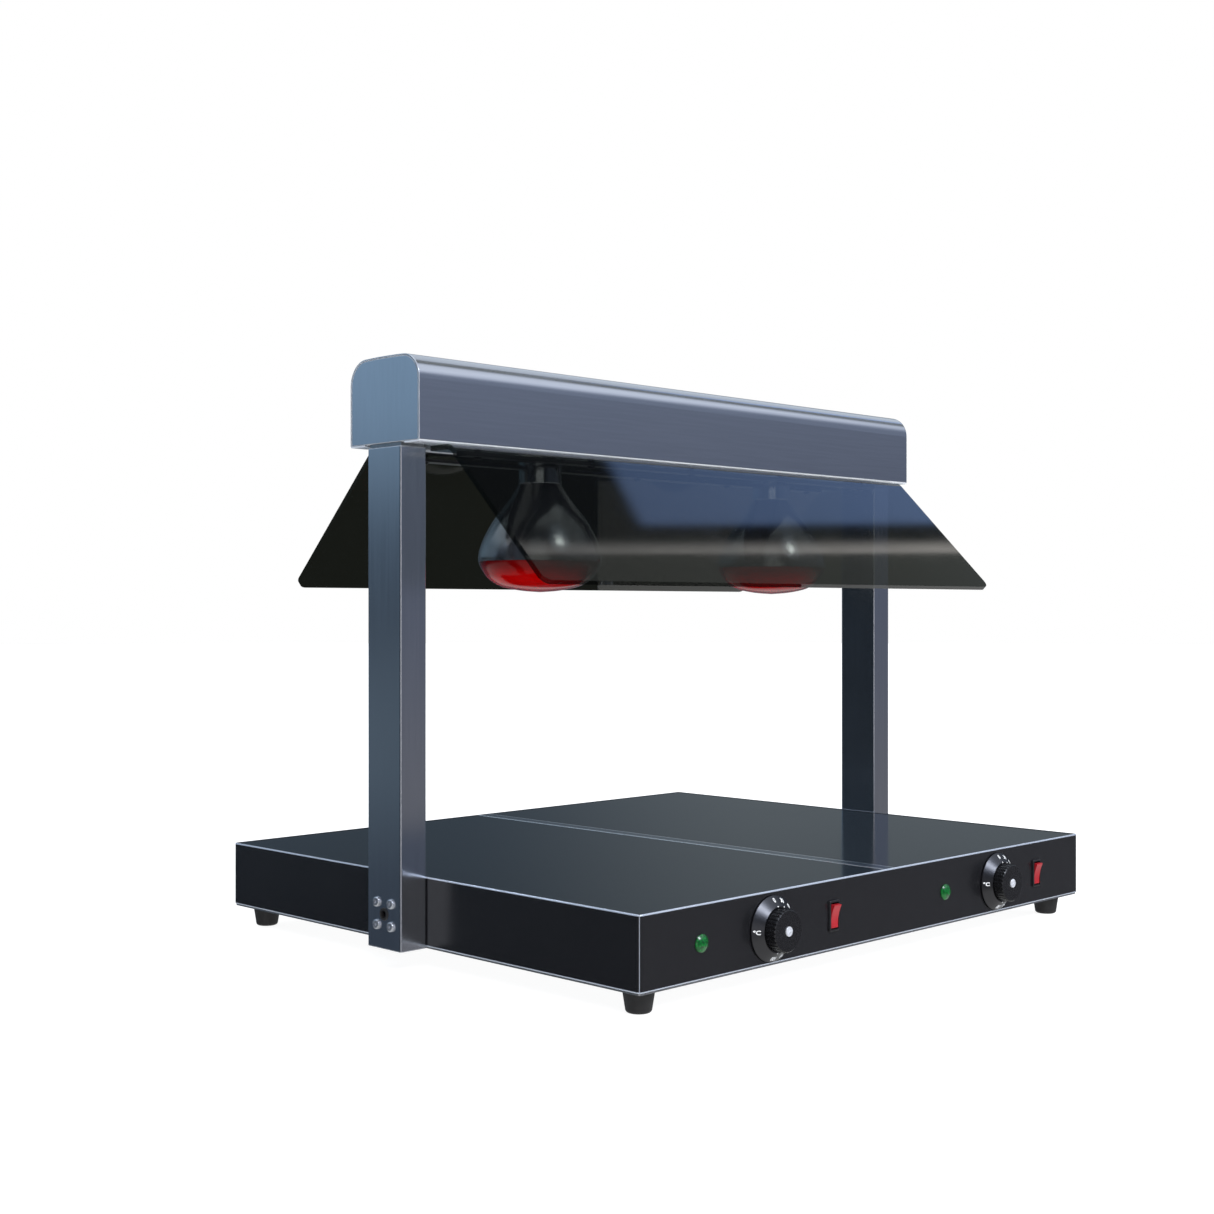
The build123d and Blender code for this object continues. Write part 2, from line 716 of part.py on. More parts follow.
with BuildPart() as cable_eyelets:
    for sign in (-1, 1):
        with BuildSketch(Plane.YZ.offset(sign * (half_width + post_x - post_wall - 1))):
            with Locations((0, post_screw_height)):
                Circle(eyelet_radius)
                Circle(eyelet_radius - 0.8, mode=Mode.SUBTRACT)
        extrude(amount=sign * (post_wall + 1))
        with BuildSketch(Plane.YZ.offset(sign * (half_width + post_x))):
            with Locations((0, post_screw_height)):
                Circle(6.0)
                Circle(eyelet_radius - 0.8, mode=Mode.SUBTRACT)
        extrude(amount=sign * 0.9)
    flanges = cable_eyelets.faces().filter_by(Axis.X).group_by(Axis.X)
    fillet([face.outer_wire().edges() for face in flanges[0] + flanges[-1]], 0.5)
save(cable_eyelets, "cable_eyelets")

block_gap = 0.1
block_screw_x = 359.0
block_screw_y = 14.0
with BuildPart() as post_top_blocks:
    with BuildSketch(Plane.XY.offset(466)):
        with Locations((-post_centre, 0), (post_centre, 0)):
            Rectangle(post_x - 2 * post_wall - 2 * block_gap, post_y - 2 * post_wall - 2 * block_gap)
            Circle(wire_hole_radius, mode=Mode.SUBTRACT)
    extrude(amount=lip_top - 466)
    with BuildSketch(Plane.XY.offset(lip_top)):
        with GridLocations(2 * block_screw_x, 2 * block_screw_y, 2, 2):
            Circle(screw_shank + 0.05)
    extrude(amount=-16, mode=Mode.SUBTRACT)
save(post_top_blocks, "post_top_blocks")

mounting_top = lip_top + sheet


def down_screw(x, y, seat, head_radius, head_height, shank_radius, length):
    """Downward screw with its head on the seat height, a plain hexagon-socket button head."""
    with BuildPart() as screw:
        with BuildSketch(standing_plane(x, y)):
            with BuildLine():
                Polyline(
                    (0, seat - length), (shank_radius, seat - length), (shank_radius, seat),
                    (head_radius, seat), (head_radius, seat + head_height * 0.5),
                    (head_radius * 0.7, seat + head_height), (0, seat + head_height), close=True,
                )
            make_face()
        revolve(axis=standing_axis(x, y))
        with BuildSketch(Plane.XY.offset(seat + head_height)):
            with Locations((x, y)):
                RegularPolygon(head_radius * 0.4, 6)
        extrude(amount=-head_height * 0.6, mode=Mode.SUBTRACT)
    return screw.part


with BuildPart() as post_top_screws:
    for x in (-block_screw_x, block_screw_x):
        for y in (-block_screw_y, block_screw_y):
            add(down_screw(x, y, mounting_top, 4.6, 2.8, screw_shank, 16))
save(post_top_screws, "post_top_screws")

with BuildPart() as post_end_plugs:
    with BuildSketch(Plane.XY.offset(base_bottom)):
        with Locations((-post_centre, 0), (post_centre, 0)):
            Rectangle(post_x - 2 * post_wall - 0.1, post_y - 2 * post_wall - 0.1)
    extrude(amount=12)
    with BuildSketch(Plane.XY.offset(base_bottom + 2)):
        with Locations((-post_centre, 0), (post_centre, 0)):
            Rectangle(post_x - 2 * post_wall - 4, post_y - 2 * post_wall - 4)
    extrude(amount=10, mode=Mode.SUBTRACT)
save(post_end_plugs, "post_end_plugs")

# ================================================================ canopy


def canopy_section(inset):
    """Crowned section across the canopy, moved inwards by inset all round."""
    half = canopy_width / 2 - inset
    shoulder = canopy_top - canopy_crown - inset
    with BuildSketch(Plane.YZ) as section:
        with BuildLine():
            Polyline((half, shoulder), (half, canopy_bottom + inset), (-half, canopy_bottom + inset),
                     (-half, shoulder))
            ThreePointArc((-half, shoulder), (0, canopy_top - inset), (half, shoulder))
        make_face()
        fillet(section.vertices().group_by(Axis.Y)[-1], canopy_corner - inset)
    return section.sketch


with BuildPart() as canopy_housing:
    extrude(canopy_section(0), amount=canopy_length / 2, both=True)
    lower_edges = canopy_housing.faces().sort_by(Axis.Z)[0].edges().filter_by(Axis.X)
    fillet(lower_edges, 2.5)
    extrude(canopy_section(sheet), amount=canopy_length / 2, both=True, mode=Mode.SUBTRACT)
    with BuildSketch(Plane.XY.offset(canopy_bottom)):
        Rectangle(canopy_length, 2 * slot_half)
        for line_y in (-clamp_line, clamp_line):
            with Locations(*[(x, line_y) for x in clamp_screw_places]):
                Circle(2.15)
    extrude(amount=sheet, mode=Mode.SUBTRACT)
save(canopy_housing, "canopy_housing")

cap_plate = 1.5
cap_outer_x = canopy_length / 2 - 0.2
cap_half_opening = 22.0
with BuildPart() as canopy_end_caps:
    for sign in (-1, 1):
        extrude(canopy_section(sheet + cap_gap).moved(Location((sign * cap_outer_x, 0, 0))),
                amount=-sign * cap_plate)
        extrude(canopy_section(sheet + cap_gap).moved(Location((sign * cap_outer_x, 0, 0))),
                amount=-sign * cap_flange)
        extrude(canopy_section(2 * sheet + cap_gap).moved(Location((sign * (cap_outer_x - cap_plate), 0, 0))),
                amount=-sign * cap_flange, mode=Mode.SUBTRACT)
    with BuildSketch(Plane.XY.offset(canopy_bottom)):
        Rectangle(2 * plate_half_length + 0.4, canopy_width)
    extrude(amount=mounting_top - canopy_bottom + 0.1, mode=Mode.SUBTRACT)
    with BuildSketch(Plane.XY.offset(canopy_bottom)):
        Rectangle(2 * (cap_outer_x - cap_plate), 2 * cap_half_opening)
    extrude(amount=10, mode=Mode.SUBTRACT)
save(canopy_end_caps, "canopy_end_caps")

with BuildPart() as lamp_mounting_plate:
    with BuildSketch(Plane.XY.offset(lip_top)):
        Rectangle(2 * plate_half_length, canopy_width - 2 * sheet - 1.5)
        with Locations(*[(x, 0) for x in lamp_places]):
            Circle(sleeve_radius + 0.3, mode=Mode.SUBTRACT)
        with GridLocations(2 * block_screw_x, 2 * block_screw_y, 2, 2):
            Circle(screw_shank + 0.15, mode=Mode.SUBTRACT)
        with Locations((-post_centre, 0), (post_centre, 0)):
            Circle(wire_hole_radius + 1, mode=Mode.SUBTRACT)
        for line_y in (-clamp_line, clamp_line):
            with Locations(*[(x, line_y) for x in clamp_screw_places]):
                Circle(2.05, mode=Mode.SUBTRACT)
    extrude(amount=sheet)
save(lamp_mounting_plate, "lamp_mounting_plate")

# ================================================================ lamp holders
sleeve_flange_radius = 28.0
ceramic_flange_top = mounting_top + 3.0
ceramic_top = 534.0
cavity_top = 529.0
shell_bottom = 501.0
shell_top = 523.0
shell_outer = 14.3
shell_inner = 13.6

with BuildPart() as holder_sleeves:
    for x in lamp_places:
        with BuildSketch(standing_plane(x, 0)):
            with BuildLine():
                Polyline(
                    (sleeve_radius - sleeve_wall, sleeve_bottom), (sleeve_radius, sleeve_bottom),
                    (sleeve_radius, lip_top - sleeve_wall), (sleeve_flange_radius, lip_top - sleeve_wall),
                    (sleeve_flange_radius, lip_top), (sleeve_radius, lip_top), (sleeve_radius, mounting_top),
                    (sleeve_radius - sleeve_wall, mounting_top), close=True,
                )
            make_face()
        revolve(axis=standing_axis(x, 0))
save(holder_sleeves, "holder_sleeves")

with BuildPart() as lamp_holders:
    for x in lamp_places:
        with BuildSketch(standing_plane(x, 0)):
            with BuildLine():
                Polyline(
                    (19, mounting_top), (27, mounting_top), (27, ceramic_flange_top),
                    (20, ceramic_flange_top), (20, ceramic_top - 3), (17, ceramic_top),
                    (0, ceramic_top), (0, cavity_top), (shell_outer, cavity_top),
                    (shell_outer, shell_bottom - 1), (19, shell_bottom - 1), close=True,
                )
            make_face()
        revolve(axis=standing_axis(x, 0))
save(lamp_holders, "lamp_holders")

with BuildPart() as holder_contacts:
    for x in lamp_places:
        with BuildSketch(standing_plane(x, 0)):
            with BuildLine():
                Polyline((shell_inner, shell_bottom), (shell_outer, shell_bottom), (shell_outer, shell_top),
                         (shell_inner, shell_top), close=True)
            make_face()
            with BuildLine():
                Polyline((0, cavity_top - 1.2), (6, cavity_top - 1.2), (6, cavity_top), (0, cavity_top),
                         close=True)
            make_face()
        revolve(axis=standing_axis(x, 0))
save(holder_contacts, "holder_contacts")

# ================================================================ bulbs
# Outside half profile of a 125 mm reflector bulb: radius and height above its lowest point.
bulb_curve = [(0, 0), (40, 6), (57.5, 20.5), (62.5, 34.5), (55.5, 55), (33, 86), (23.6, 104)]
bulb_shoulder = (19.0, 110.0)
bulb_neck = (17.4, 128.0)
bulb_throat = (12.6, neck_end)


def bulb_outline(inset):
    """Outer points moved in by inset along the outline's normal, for the envelope's inside."""
    moved = []
    for i, (radius, height) in enumerate(bulb_curve):
        before = bulb_curve[max(i - 1, 0)]
        after = bulb_curve[min(i + 1, len(bulb_curve) - 1)]
        run = (after[0] - before[0], after[1] - before[1])
        size = (run[0] ** 2 + run[1] ** 2) ** 0.5
        if i == 0:
            moved.append((0, inset))
        else:
            moved.append((radius - inset * run[1] / size, height + inset * run[0] / size))
    return moved


def bulb_body(x, inset, top):
    """Solid of revolution inside the bulb's outline."""
    points = bulb_outline(inset)
    shoulder = (bulb_shoulder[0] - inset, bulb_shoulder[1])
    neck = (bulb_neck[0] - inset, bulb_neck[1])
    throat = (bulb_throat[0] - inset, min(top, bulb_throat[1]))
    with BuildPart() as body:
        with BuildSketch(standing_plane(x, 0)) as outline:
            with BuildLine():
                Spline(*points, tangents=((1, 0), (-0.35, 1)))
                Line(points[-1], shoulder)
                Line(shoulder, neck)
                Line(neck, throat)
                Line(throat, (0, throat[1]))
                Line((0, throat[1]), points[0])
            make_face()
            corner = outline.vertices().sort_by_distance(shoulder)[0]
            fillet(corner, 2.0)
        revolve(axis=standing_axis(x, 0))
    return body.part.moved(Location((0, 0, bulb_bottom)))


cap_bottom = bulb_bottom + neck_end
cap_radius = 13.1
for (side, _), x in zip(sides, lamp_places):
    with BuildPart() as bulb_glass:
        add(bulb_body(x, 0, neck_end))
        add(bulb_body(x, bulb_wall, neck_end - 3), mode=Mode.SUBTRACT)
    save(bulb_glass, f"bulb_glass_{side}")

    with BuildPart() as bulb_cap:
        with BuildSketch(standing_plane(x, 0)):
            with BuildLine():
                Polyline(
                    (0, cap_bottom), (cap_radius, cap_bottom), (cap_radius, cap_bottom + cap_length - 5),
                    (5, cap_bottom + cap_length), (4.5, bulb_bottom + bulb_length - 0.3),
                    (0, bulb_bottom + bulb_length - 0.3), close=True,
                )
            make_face()
        revolve(axis=standing_axis(x, 0))
    save(bulb_cap, f"bulb_cap_{side}")

    stem_top = bulb_bottom + neck_end - 3
    coil_height = bulb_bottom + 66
    with BuildPart() as filament:
        with BuildSketch(standing_plane(x, 0)):
            with BuildLine():
                Polyline((0, stem_top), (9.5, stem_top), (6.0, stem_top - 6), (3.5, stem_top - 34),
                         (0, stem_top - 36), close=True)
            make_face()
        revolve(axis=standing_axis(x, 0))
        with BuildSketch(Plane.XY.offset(coil_height)):
            with Locations((x, 0)):
                with PolarLocations(12, 3, start_angle=40):
                    Circle(0.6)
        extrude(amount=stem_top - 30 - coil_height)
        with BuildSketch(Plane.XY.offset(stem_top - 31)):
            with Locations((x, 0)):
                Circle(13.6)
        extrude(amount=1.2)
        with BuildSketch(standing_plane(x, 0)):
            with Locations((12, coil_height)):
                Circle(1.1)
        revolve(axis=standing_axis(x, 0))
    save(filament, f"bulb_filament_{side}")

# ================================================================ glass guards
slope = radians(45)
guard_lower_outer = (guard_bend + guard_slope * cos(slope), guard_top - guard_slope * sin(slope))
guard_lower_inner = (guard_lower_outer[0] - guard_thickness * sin(slope),
                     guard_lower_outer[1] - guard_thickness * cos(slope))
guard_inner_bend = guard_bend - guard_thickness * tan(slope / 2)
guard_under = guard_top - guard_thickness

for name, sign in (("front", -1), ("rear", 1)):
    with BuildPart() as glass_guard:
        with BuildSketch(Plane.YZ) as guard_section:
            with BuildLine():
                Polyline(
                    (sign * guard_flange_start, guard_top), (sign * guard_bend, guard_top),
                    (sign * guard_lower_outer[0], guard_lower_outer[1]),
                    (sign * guard_lower_inner[0], guard_lower_inner[1]),
                    (sign * guard_inner_bend, guard_under), (sign * guard_flange_start, guard_under),
                    close=True,
                )
            make_face()
            bend_out = guard_section.vertices().sort_by_distance((sign * guard_bend, guard_top))[0]
            fillet(bend_out, guard_inner_bend_radius + guard_thickness)
            bend_in = guard_section.vertices().sort_by_distance((sign * guard_inner_bend, guard_under))[0]
            fillet(bend_in, guard_inner_bend_radius)
        extrude(amount=half_width, both=True)
        lower_corners = glass_guard.edges().filter_by(Axis((0, 0, 0), (0, sign, 1)))
        fillet(lower_corners, guard_corner)
        with BuildSketch(Plane.XY.offset(guard_under)):
            with Locations(*[(x, sign * clamp_line) for x in clamp_screw_places]):
                Circle(3.2)
        extrude(amount=guard_thickness, mode=Mode.SUBTRACT)
    save(glass_guard, f"glass_guard_{name}")

clamp_points = [(x, s * clamp_line) for s in (-1, 1) for x in clamp_screw_places]
rail_middle = (rail_inner + rail_outer) / 2
rail_width = rail_outer - rail_inner
with BuildPart() as glass_gaskets:
    with BuildSketch(Plane.XY.offset(guard_top)):
        with Locations((0, -rail_middle), (0, rail_middle)):
            Rectangle(640, rail_width)
        with Locations(*clamp_points):
            Circle(2.3, mode=Mode.SUBTRACT)
    extrude(amount=gasket_thickness)
save(glass_gaskets, "glass_gaskets")

with BuildPart() as glass_clamp_rails:
    with BuildSketch(Plane.XY.offset(guard_under - rail_thickness)):
        with Locations((0, -rail_middle), (0, rail_middle)):
            RectangleRounded(640, rail_width, 3)
        with Locations(*clamp_points):
            Circle(2.3, mode=Mode.SUBTRACT)
    extrude(amount=rail_thickness)
    chamfer(glass_clamp_rails.faces().sort_by(Axis.Z)[0:2].edges().filter_by(Axis.X), 0.6)
save(glass_clamp_rails, "glass_clamp_rails")

clamp_seat = guard_under - rail_thickness
with BuildPart() as glass_clamp_screws:
    for x, y in clamp_points:
        add(pan_screw(x, y, clamp_seat, 4.0, 2.4, 2.0, mounting_top - clamp_seat + 2))
save(glass_clamp_screws, "glass_clamp_screws")

# ================================================================ wiring and mains lead
block_x = 195.0
block_y = 235.0
block_length = 46.0
cable_radius = 3.6

with BuildPart() as terminal_block:
    with BuildSketch(Plane.XY.offset(casing_bottom)):
        with Locations((block_x, block_y)):
            RectangleRounded(block_length, 26, 2)
    extrude(amount=14)
    with BuildSketch(Plane.XY.offset(casing_bottom + 14)):
        with Locations((block_x, block_y)):
            with GridLocations(14, 12, 3, 2):
                Circle(2.6)
    extrude(amount=-5, mode=Mode.SUBTRACT)
save(terminal_block, "terminal_block")

gland_axis = Axis((gland_x, half_depth, gland_height), (0, 1, 0))
gland_plane = Plane(origin=(gland_x, half_depth, gland_height), x_dir=(1, 0, 0), z_dir=(0, 0, 1))
with BuildPart() as cord_grip:
    with BuildSketch(gland_plane):
        with BuildLine():
            Polyline(
                (cable_radius + 0.1, -9), (12, -9), (12, -sheet), (gland_hole_radius - 0.2, -sheet),
                (gland_hole_radius - 0.2, 0), (12.5, 0), (12.5, 6), (10.5, 8), (10.5, 14), (6.2, 24),
                (cable_radius + 0.1, 24), close=True,
            )
        make_face()
    revolve(axis=gland_axis)
save(cord_grip, "cord_grip")

# The lead leaves the gland, drops to the counter and lies there folded into three long passes.
pass_pitch = 13.0
pass_end = 235.0
left_turn_x = -150.0
first_pass_y = half_depth + 36.0
counter_line = cable_radius + 0.2
turn = pass_pitch / 2
plug_x = -196.0
plug_y = first_pass_y + 2 * pass_pitch
cable_seat = 12.0
lead_start = (gland_x, half_depth - 14, gland_height)
lead_exit = (gland_x, half_depth + 24, gland_height)
landing = (gland_x - 46, first_pass_y, counter_line)

with BuildPart() as mains_cable:
    with BuildLine() as lead_path:
        Line(lead_start, lead_exit)
        Bezier(lead_exit, (gland_x, first_pass_y, gland_height), (gland_x + 4, first_pass_y, counter_line),
               landing)
        Line(landing, (left_turn_x, first_pass_y, counter_line))
        RadiusArc((left_turn_x, first_pass_y, counter_line),
                  (left_turn_x, first_pass_y + pass_pitch, counter_line), turn)
        Line((left_turn_x, first_pass_y + pass_pitch, counter_line),
             (pass_end, first_pass_y + pass_pitch, counter_line))
        RadiusArc((pass_end, first_pass_y + pass_pitch, counter_line),
                  (pass_end, first_pass_y + 2 * pass_pitch, counter_line), -turn)
        Line((pass_end, first_pass_y + 2 * pass_pitch, counter_line),
             (plug_x, first_pass_y + 2 * pass_pitch, counter_line))
    with BuildSketch(Plane(origin=lead_start, z_dir=(0, 1, 0))):
        Circle(cable_radius)
    sweep(path=lead_path.line)
save(mains_cable, "mains_cable")

with BuildPart() as mains_plug:
    with BuildSketch(Plane.YZ.offset(plug_x)):
        with Locations((plug_y, counter_line)):
            Circle(5.0)
    extrude(amount=-18)
    with BuildSketch(Plane.XY):
        with Locations((plug_x - 18 - 25, plug_y + 7)):
            RectangleRounded(50, 50, 9)
    extrude(amount=20)
    chamfer(mains_plug.faces().sort_by(Axis.Z)[-1].edges(), 2.0)
    with BuildSketch(Plane.XY.offset(20)):
        with Locations((plug_x - 18 - 12, plug_y + 7)):
            Rectangle(8, 4)
        with Locations(*[(plug_x - 18 - 34.2, plug_y + 7 + s * 11.1) for s in (-1, 1)]):
            Rectangle(4, 6.3)
    extrude(amount=18)
    with BuildSketch(Plane.YZ.offset(plug_x)):
        with Locations((plug_y, counter_line)):
            Circle(cable_radius + 0.1)
    extrude(amount=-cable_seat, mode=Mode.SUBTRACT)
save(mains_plug, "mains_plug")


def wire(points, radius):
    """Round wire along a smooth line through the points."""
    with BuildPart() as piece:
        with BuildLine() as path:
            line = Spline(*points)
        with BuildSketch(Plane(origin=line @ 0, z_dir=line % 0)):
            Circle(radius)
        sweep(path=path.line)
    return piece.part


thin_wire = 1.1
lamp_wire = 2.1
block_wire_z = casing_bottom + 18
low_level = base_bottom + 14
switch_back_y = -half_depth + switch_depth + 12
thermostat_back_y = -half_depth + thermostat_depth + 16
mat_terminal_z = insulation_top - mat_terminal_height - 3
canopy_run_z = 547.0
holder_wire_z = ceramic_top + 2

with BuildPart() as internal_wiring:
    for i in range(2):
        switch_x = switch_places[i]
        knob_x = knob_places[i]
        pilot_x = pilot_places[i]
        mat_x, mat_y = mat_terminal_places[i]
        # supply from the terminal block to the switch
        add(wire([(block_x - 16 + 14 * i, block_y - 20, block_wire_z),
                  (switch_x * 0.6 + 60, 60 - 30 * i, low_level),
                  (switch_x, -180, low_level + 4),
                  (switch_x, switch_back_y, control_height)], thin_wire))
        # switch to thermostat
        add(wire([(switch_x - 5, switch_back_y, control_height),
                  ((knob_x + switch_x) / 2, -half_depth + 58, low_level + 8),
                  (knob_x + 20, thermostat_back_y, control_height)], thin_wire))
        # thermostat to heating mat
        add(wire([(knob_x - 14, thermostat_back_y, control_height),
                  (knob_x - 30, mat_y + 4, low_level + 20),
                  (mat_x - 15, mat_y, mat_terminal_z)], thin_wire))
        # thermostat to pilot light
        add(wire([(pilot_x + 4, -half_depth + 38, pilot_height),
                  ((pilot_x + knob_x) / 2 - 4, -half_depth + 56, low_level + 4),
                  (knob_x - 18, thermostat_back_y + 2, control_height - 6)], thin_wire))
    # lamp lead: terminal block to the left post, up inside it and along inside the canopy
    add(wire([(block_x - 30, block_y, block_wire_z - 8), (-60, 150, low_level),
              (-280, 20, post_screw_height - 6), (-352, 0, post_screw_height),
              (-post_centre, 0, post_screw_height + 22)], lamp_wire))
    with BuildSketch(Plane.XY.offset(post_screw_height + 24)):
        with Locations((-post_centre, 0)):
            Circle(lamp_wire)
    extrude(amount=mounting_top + 8 - post_screw_height - 24)
    add(wire([(-post_centre, 0, mounting_top + 10), (-340, 0, 540), (-260, 0, canopy_run_z + 1),
              (lamp_places[0] - 8, 0, 541), (lamp_places[0] - 4, 0, holder_wire_z)], lamp_wire))
    add(wire([(lamp_places[0] + 4, 0, holder_wire_z), (lamp_places[0] + 40, 0, canopy_run_z),
              (lamp_places[1] - 40, 0, canopy_run_z), (lamp_places[1] - 4, 0, holder_wire_z)], lamp_wire))
save(internal_wiring, "internal_wiring")
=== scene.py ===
from math import cos, pi, radians, sin

import bmesh
import bpy
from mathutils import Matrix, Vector
from mathutils.bvhtree import BVHTree


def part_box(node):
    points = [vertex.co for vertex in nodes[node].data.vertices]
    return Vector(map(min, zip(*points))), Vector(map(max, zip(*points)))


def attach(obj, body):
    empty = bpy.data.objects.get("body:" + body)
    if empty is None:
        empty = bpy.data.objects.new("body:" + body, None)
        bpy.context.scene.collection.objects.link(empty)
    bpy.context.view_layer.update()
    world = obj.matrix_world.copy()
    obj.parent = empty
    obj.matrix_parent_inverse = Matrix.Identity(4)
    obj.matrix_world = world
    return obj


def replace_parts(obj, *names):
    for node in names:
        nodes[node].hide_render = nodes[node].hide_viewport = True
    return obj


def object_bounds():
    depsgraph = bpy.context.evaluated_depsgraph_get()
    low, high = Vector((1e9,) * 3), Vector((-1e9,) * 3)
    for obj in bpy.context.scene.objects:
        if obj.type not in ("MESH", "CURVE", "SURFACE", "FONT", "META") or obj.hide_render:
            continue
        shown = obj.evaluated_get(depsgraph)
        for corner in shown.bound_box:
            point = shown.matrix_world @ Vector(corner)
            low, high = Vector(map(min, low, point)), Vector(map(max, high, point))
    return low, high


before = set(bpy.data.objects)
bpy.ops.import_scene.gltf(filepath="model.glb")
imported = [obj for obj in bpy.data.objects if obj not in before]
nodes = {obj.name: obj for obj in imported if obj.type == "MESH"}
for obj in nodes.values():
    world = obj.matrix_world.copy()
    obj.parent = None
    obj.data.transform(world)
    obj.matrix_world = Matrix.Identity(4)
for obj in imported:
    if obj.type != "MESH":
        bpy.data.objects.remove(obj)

cad_low, cad_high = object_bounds()
sides = ("left", "right")
mm = 0.001


# ================================================================ shader helpers
class Tree:
    """A node tree, with one short call for each kind of node used here."""

    def __init__(self, owner):
        owner.use_nodes = True
        self.tree = owner.node_tree
        self.tree.nodes.clear()

    def add(self, kind, **settings):
        node = self.tree.nodes.new("ShaderNode" + kind)
        for key, value in settings.items():
            setattr(node, key, value)
        return node

    def put(self, socket, value):
        """Links a socket into another, or writes a plain value to it."""
        if isinstance(value, bpy.types.NodeSocket):
            self.tree.links.new(value, socket)
        else:
            socket.default_value = value

    def math(self, operation, a, b=0.0):
        node = self.add("Math", operation=operation)
        self.put(node.inputs[0], a)
        self.put(node.inputs[1], b)
        return node.outputs[0]

    def vector(self, operation, a, b):
        node = self.add("VectorMath", operation=operation)
        self.put(node.inputs[0], a)
        self.put(node.inputs["Scale" if operation == "SCALE" else 1], b)
        return node.outputs["Value" if operation in ("DOT_PRODUCT", "LENGTH") else "Vector"]

    def step(self, value, low, high, start=0.0, end=1.0):
        """Smooth step from start at low to end at high."""
        node = self.add("MapRange", interpolation_type="SMOOTHSTEP")
        self.put(node.inputs["Value"], value)
        for name, number in (("From Min", low), ("From Max", high), ("To Min", start), ("To Max", end)):
            self.put(node.inputs[name], number)
        return node.outputs["Result"]

    def window(self, value, low, high, soft):
        """One between low and high, falling to nothing over soft on each side."""
        rise = self.step(value, low - soft, low)
        fall = self.step(value, high, high + soft, 1.0, 0.0)
        return self.math("MULTIPLY", rise, fall)

    def mix(self, share, a, b):
        node = self.add("Mix", data_type="RGBA")
        self.put(node.inputs["Factor"], share)
        self.put(node.inputs["A"], a)
        self.put(node.inputs["B"], b)
        return node.outputs["Result"]

    def place(self, scale=(1, 1, 1)):
        """Position in the shared frame, stretched by scale."""
        coordinate = self.add("TexCoord").outputs["Object"]
        mapping = self.add("Mapping")
        self.put(mapping.inputs["Vector"], coordinate)
        self.put(mapping.inputs["Scale"], scale)
        return mapping.outputs["Vector"]

    def noise(self, scale, stretch=(1, 1, 1), detail=2.0):
        node = self.add("TexNoise")
        self.put(node.inputs["Vector"], self.place(stretch))
        self.put(node.inputs["Scale"], scale)
        self.put(node.inputs["Detail"], detail)
        return node.outputs["Fac"]

    def vary(self, pattern, base, amount):
        """Base where the pattern is zero, rising by amount where it is one."""
        return self.math("ADD", self.math("MULTIPLY", pattern, amount), base)

    def bump(self, height, strength, distance, normal=None):
        node = self.add("Bump")
        self.put(node.inputs["Height"], height)
        self.put(node.inputs["Strength"], strength)
        self.put(node.inputs["Distance"], distance)
        if normal is not None:
            self.put(node.inputs["Normal"], normal)
        return node.outputs["Normal"]

    def rounded(self, radius):
        """The surface normal, with sharp edges rounded over by a radius."""
        bevel = self.add("Bevel", samples=6)
        self.put(bevel.inputs["Radius"], radius)
        return bevel.outputs["Normal"]

    def edge(self, rounded, low, high):
        """One where the rounded normal leaves the true one, nothing on flat faces."""
        along = self.vector("DOT_PRODUCT", rounded, self.add("NewGeometry").outputs["Normal"])
        return self.step(self.math("SUBTRACT", 1.0, along), low, high)

    def split(self, vector):
        """The x, y and z of a vector."""
        node = self.add("SeparateXYZ")
        self.put(node.inputs[0], vector)
        return node.outputs

    def coordinate(self, axis):
        """One coordinate of the position in the shared frame."""
        return self.split(self.add("TexCoord").outputs["Object"])[axis]

    def depth_in(self, node, axis):
        """How deep a point lies in the box of a CAD node, from the nearer side along one axis."""
        low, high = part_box(node)
        centre, half = (low[axis] + high[axis]) / 2, (high[axis] - low[axis]) / 2
        from_centre = self.math("ABSOLUTE", self.math("SUBTRACT", self.coordinate(axis), centre))
        return self.math("SUBTRACT", half, from_centre)

    def past_glass(self):
        """One on a ray that has come through a pane, nothing on other rays."""
        return self.step(self.add("LightPath").outputs["Transparent Depth"], 0.2, 0.8)

    def layers(self, share, under, over):
        """Shader that shows one shader over another by a share."""
        node = self.add("MixShader")
        for place, value in enumerate((share, under, over)):
            self.put(node.inputs[place], value)
        return node.outputs[0]

    def show(self, shader, kind="OutputMaterial"):
        self.put(self.add(kind).inputs["Surface"], shader)


def surface(name, colour, roughness, metallic=0.0, **inputs):
    """A material with one Principled shader. Returns the material, its tree and the shader."""
    material = bpy.data.materials.new(name)
    tree = Tree(material)
    shader = tree.add("BsdfPrincipled")
    tree.put(shader.inputs["Base Color"], colour)
    tree.put(shader.inputs["Roughness"], roughness)
    tree.put(shader.inputs["Metallic"], metallic)
    for key, value in inputs.items():
        tree.put(shader.inputs[key.replace("_", " ").title().replace("Ior", "IOR")], value)
    tree.show(shader.outputs[0])
    return material, tree, shader


def grey(value, blue=0.0):
    return (value, value, value + blue, 1.0)


def darker(colour, share):
    """The colour at a share of its brightness."""
    return tuple(share * channel for channel in colour[:3]) + (1.0,)


# ================================================================ materials
# near-white colour of the painted highlight on steel edges
steel_edge_highlight = (0.86, 0.88, 0.92, 1.0)
steel_edge = 1.4 * mm
enamel_edge = 1.3 * mm
hem_height = 1.2 * mm


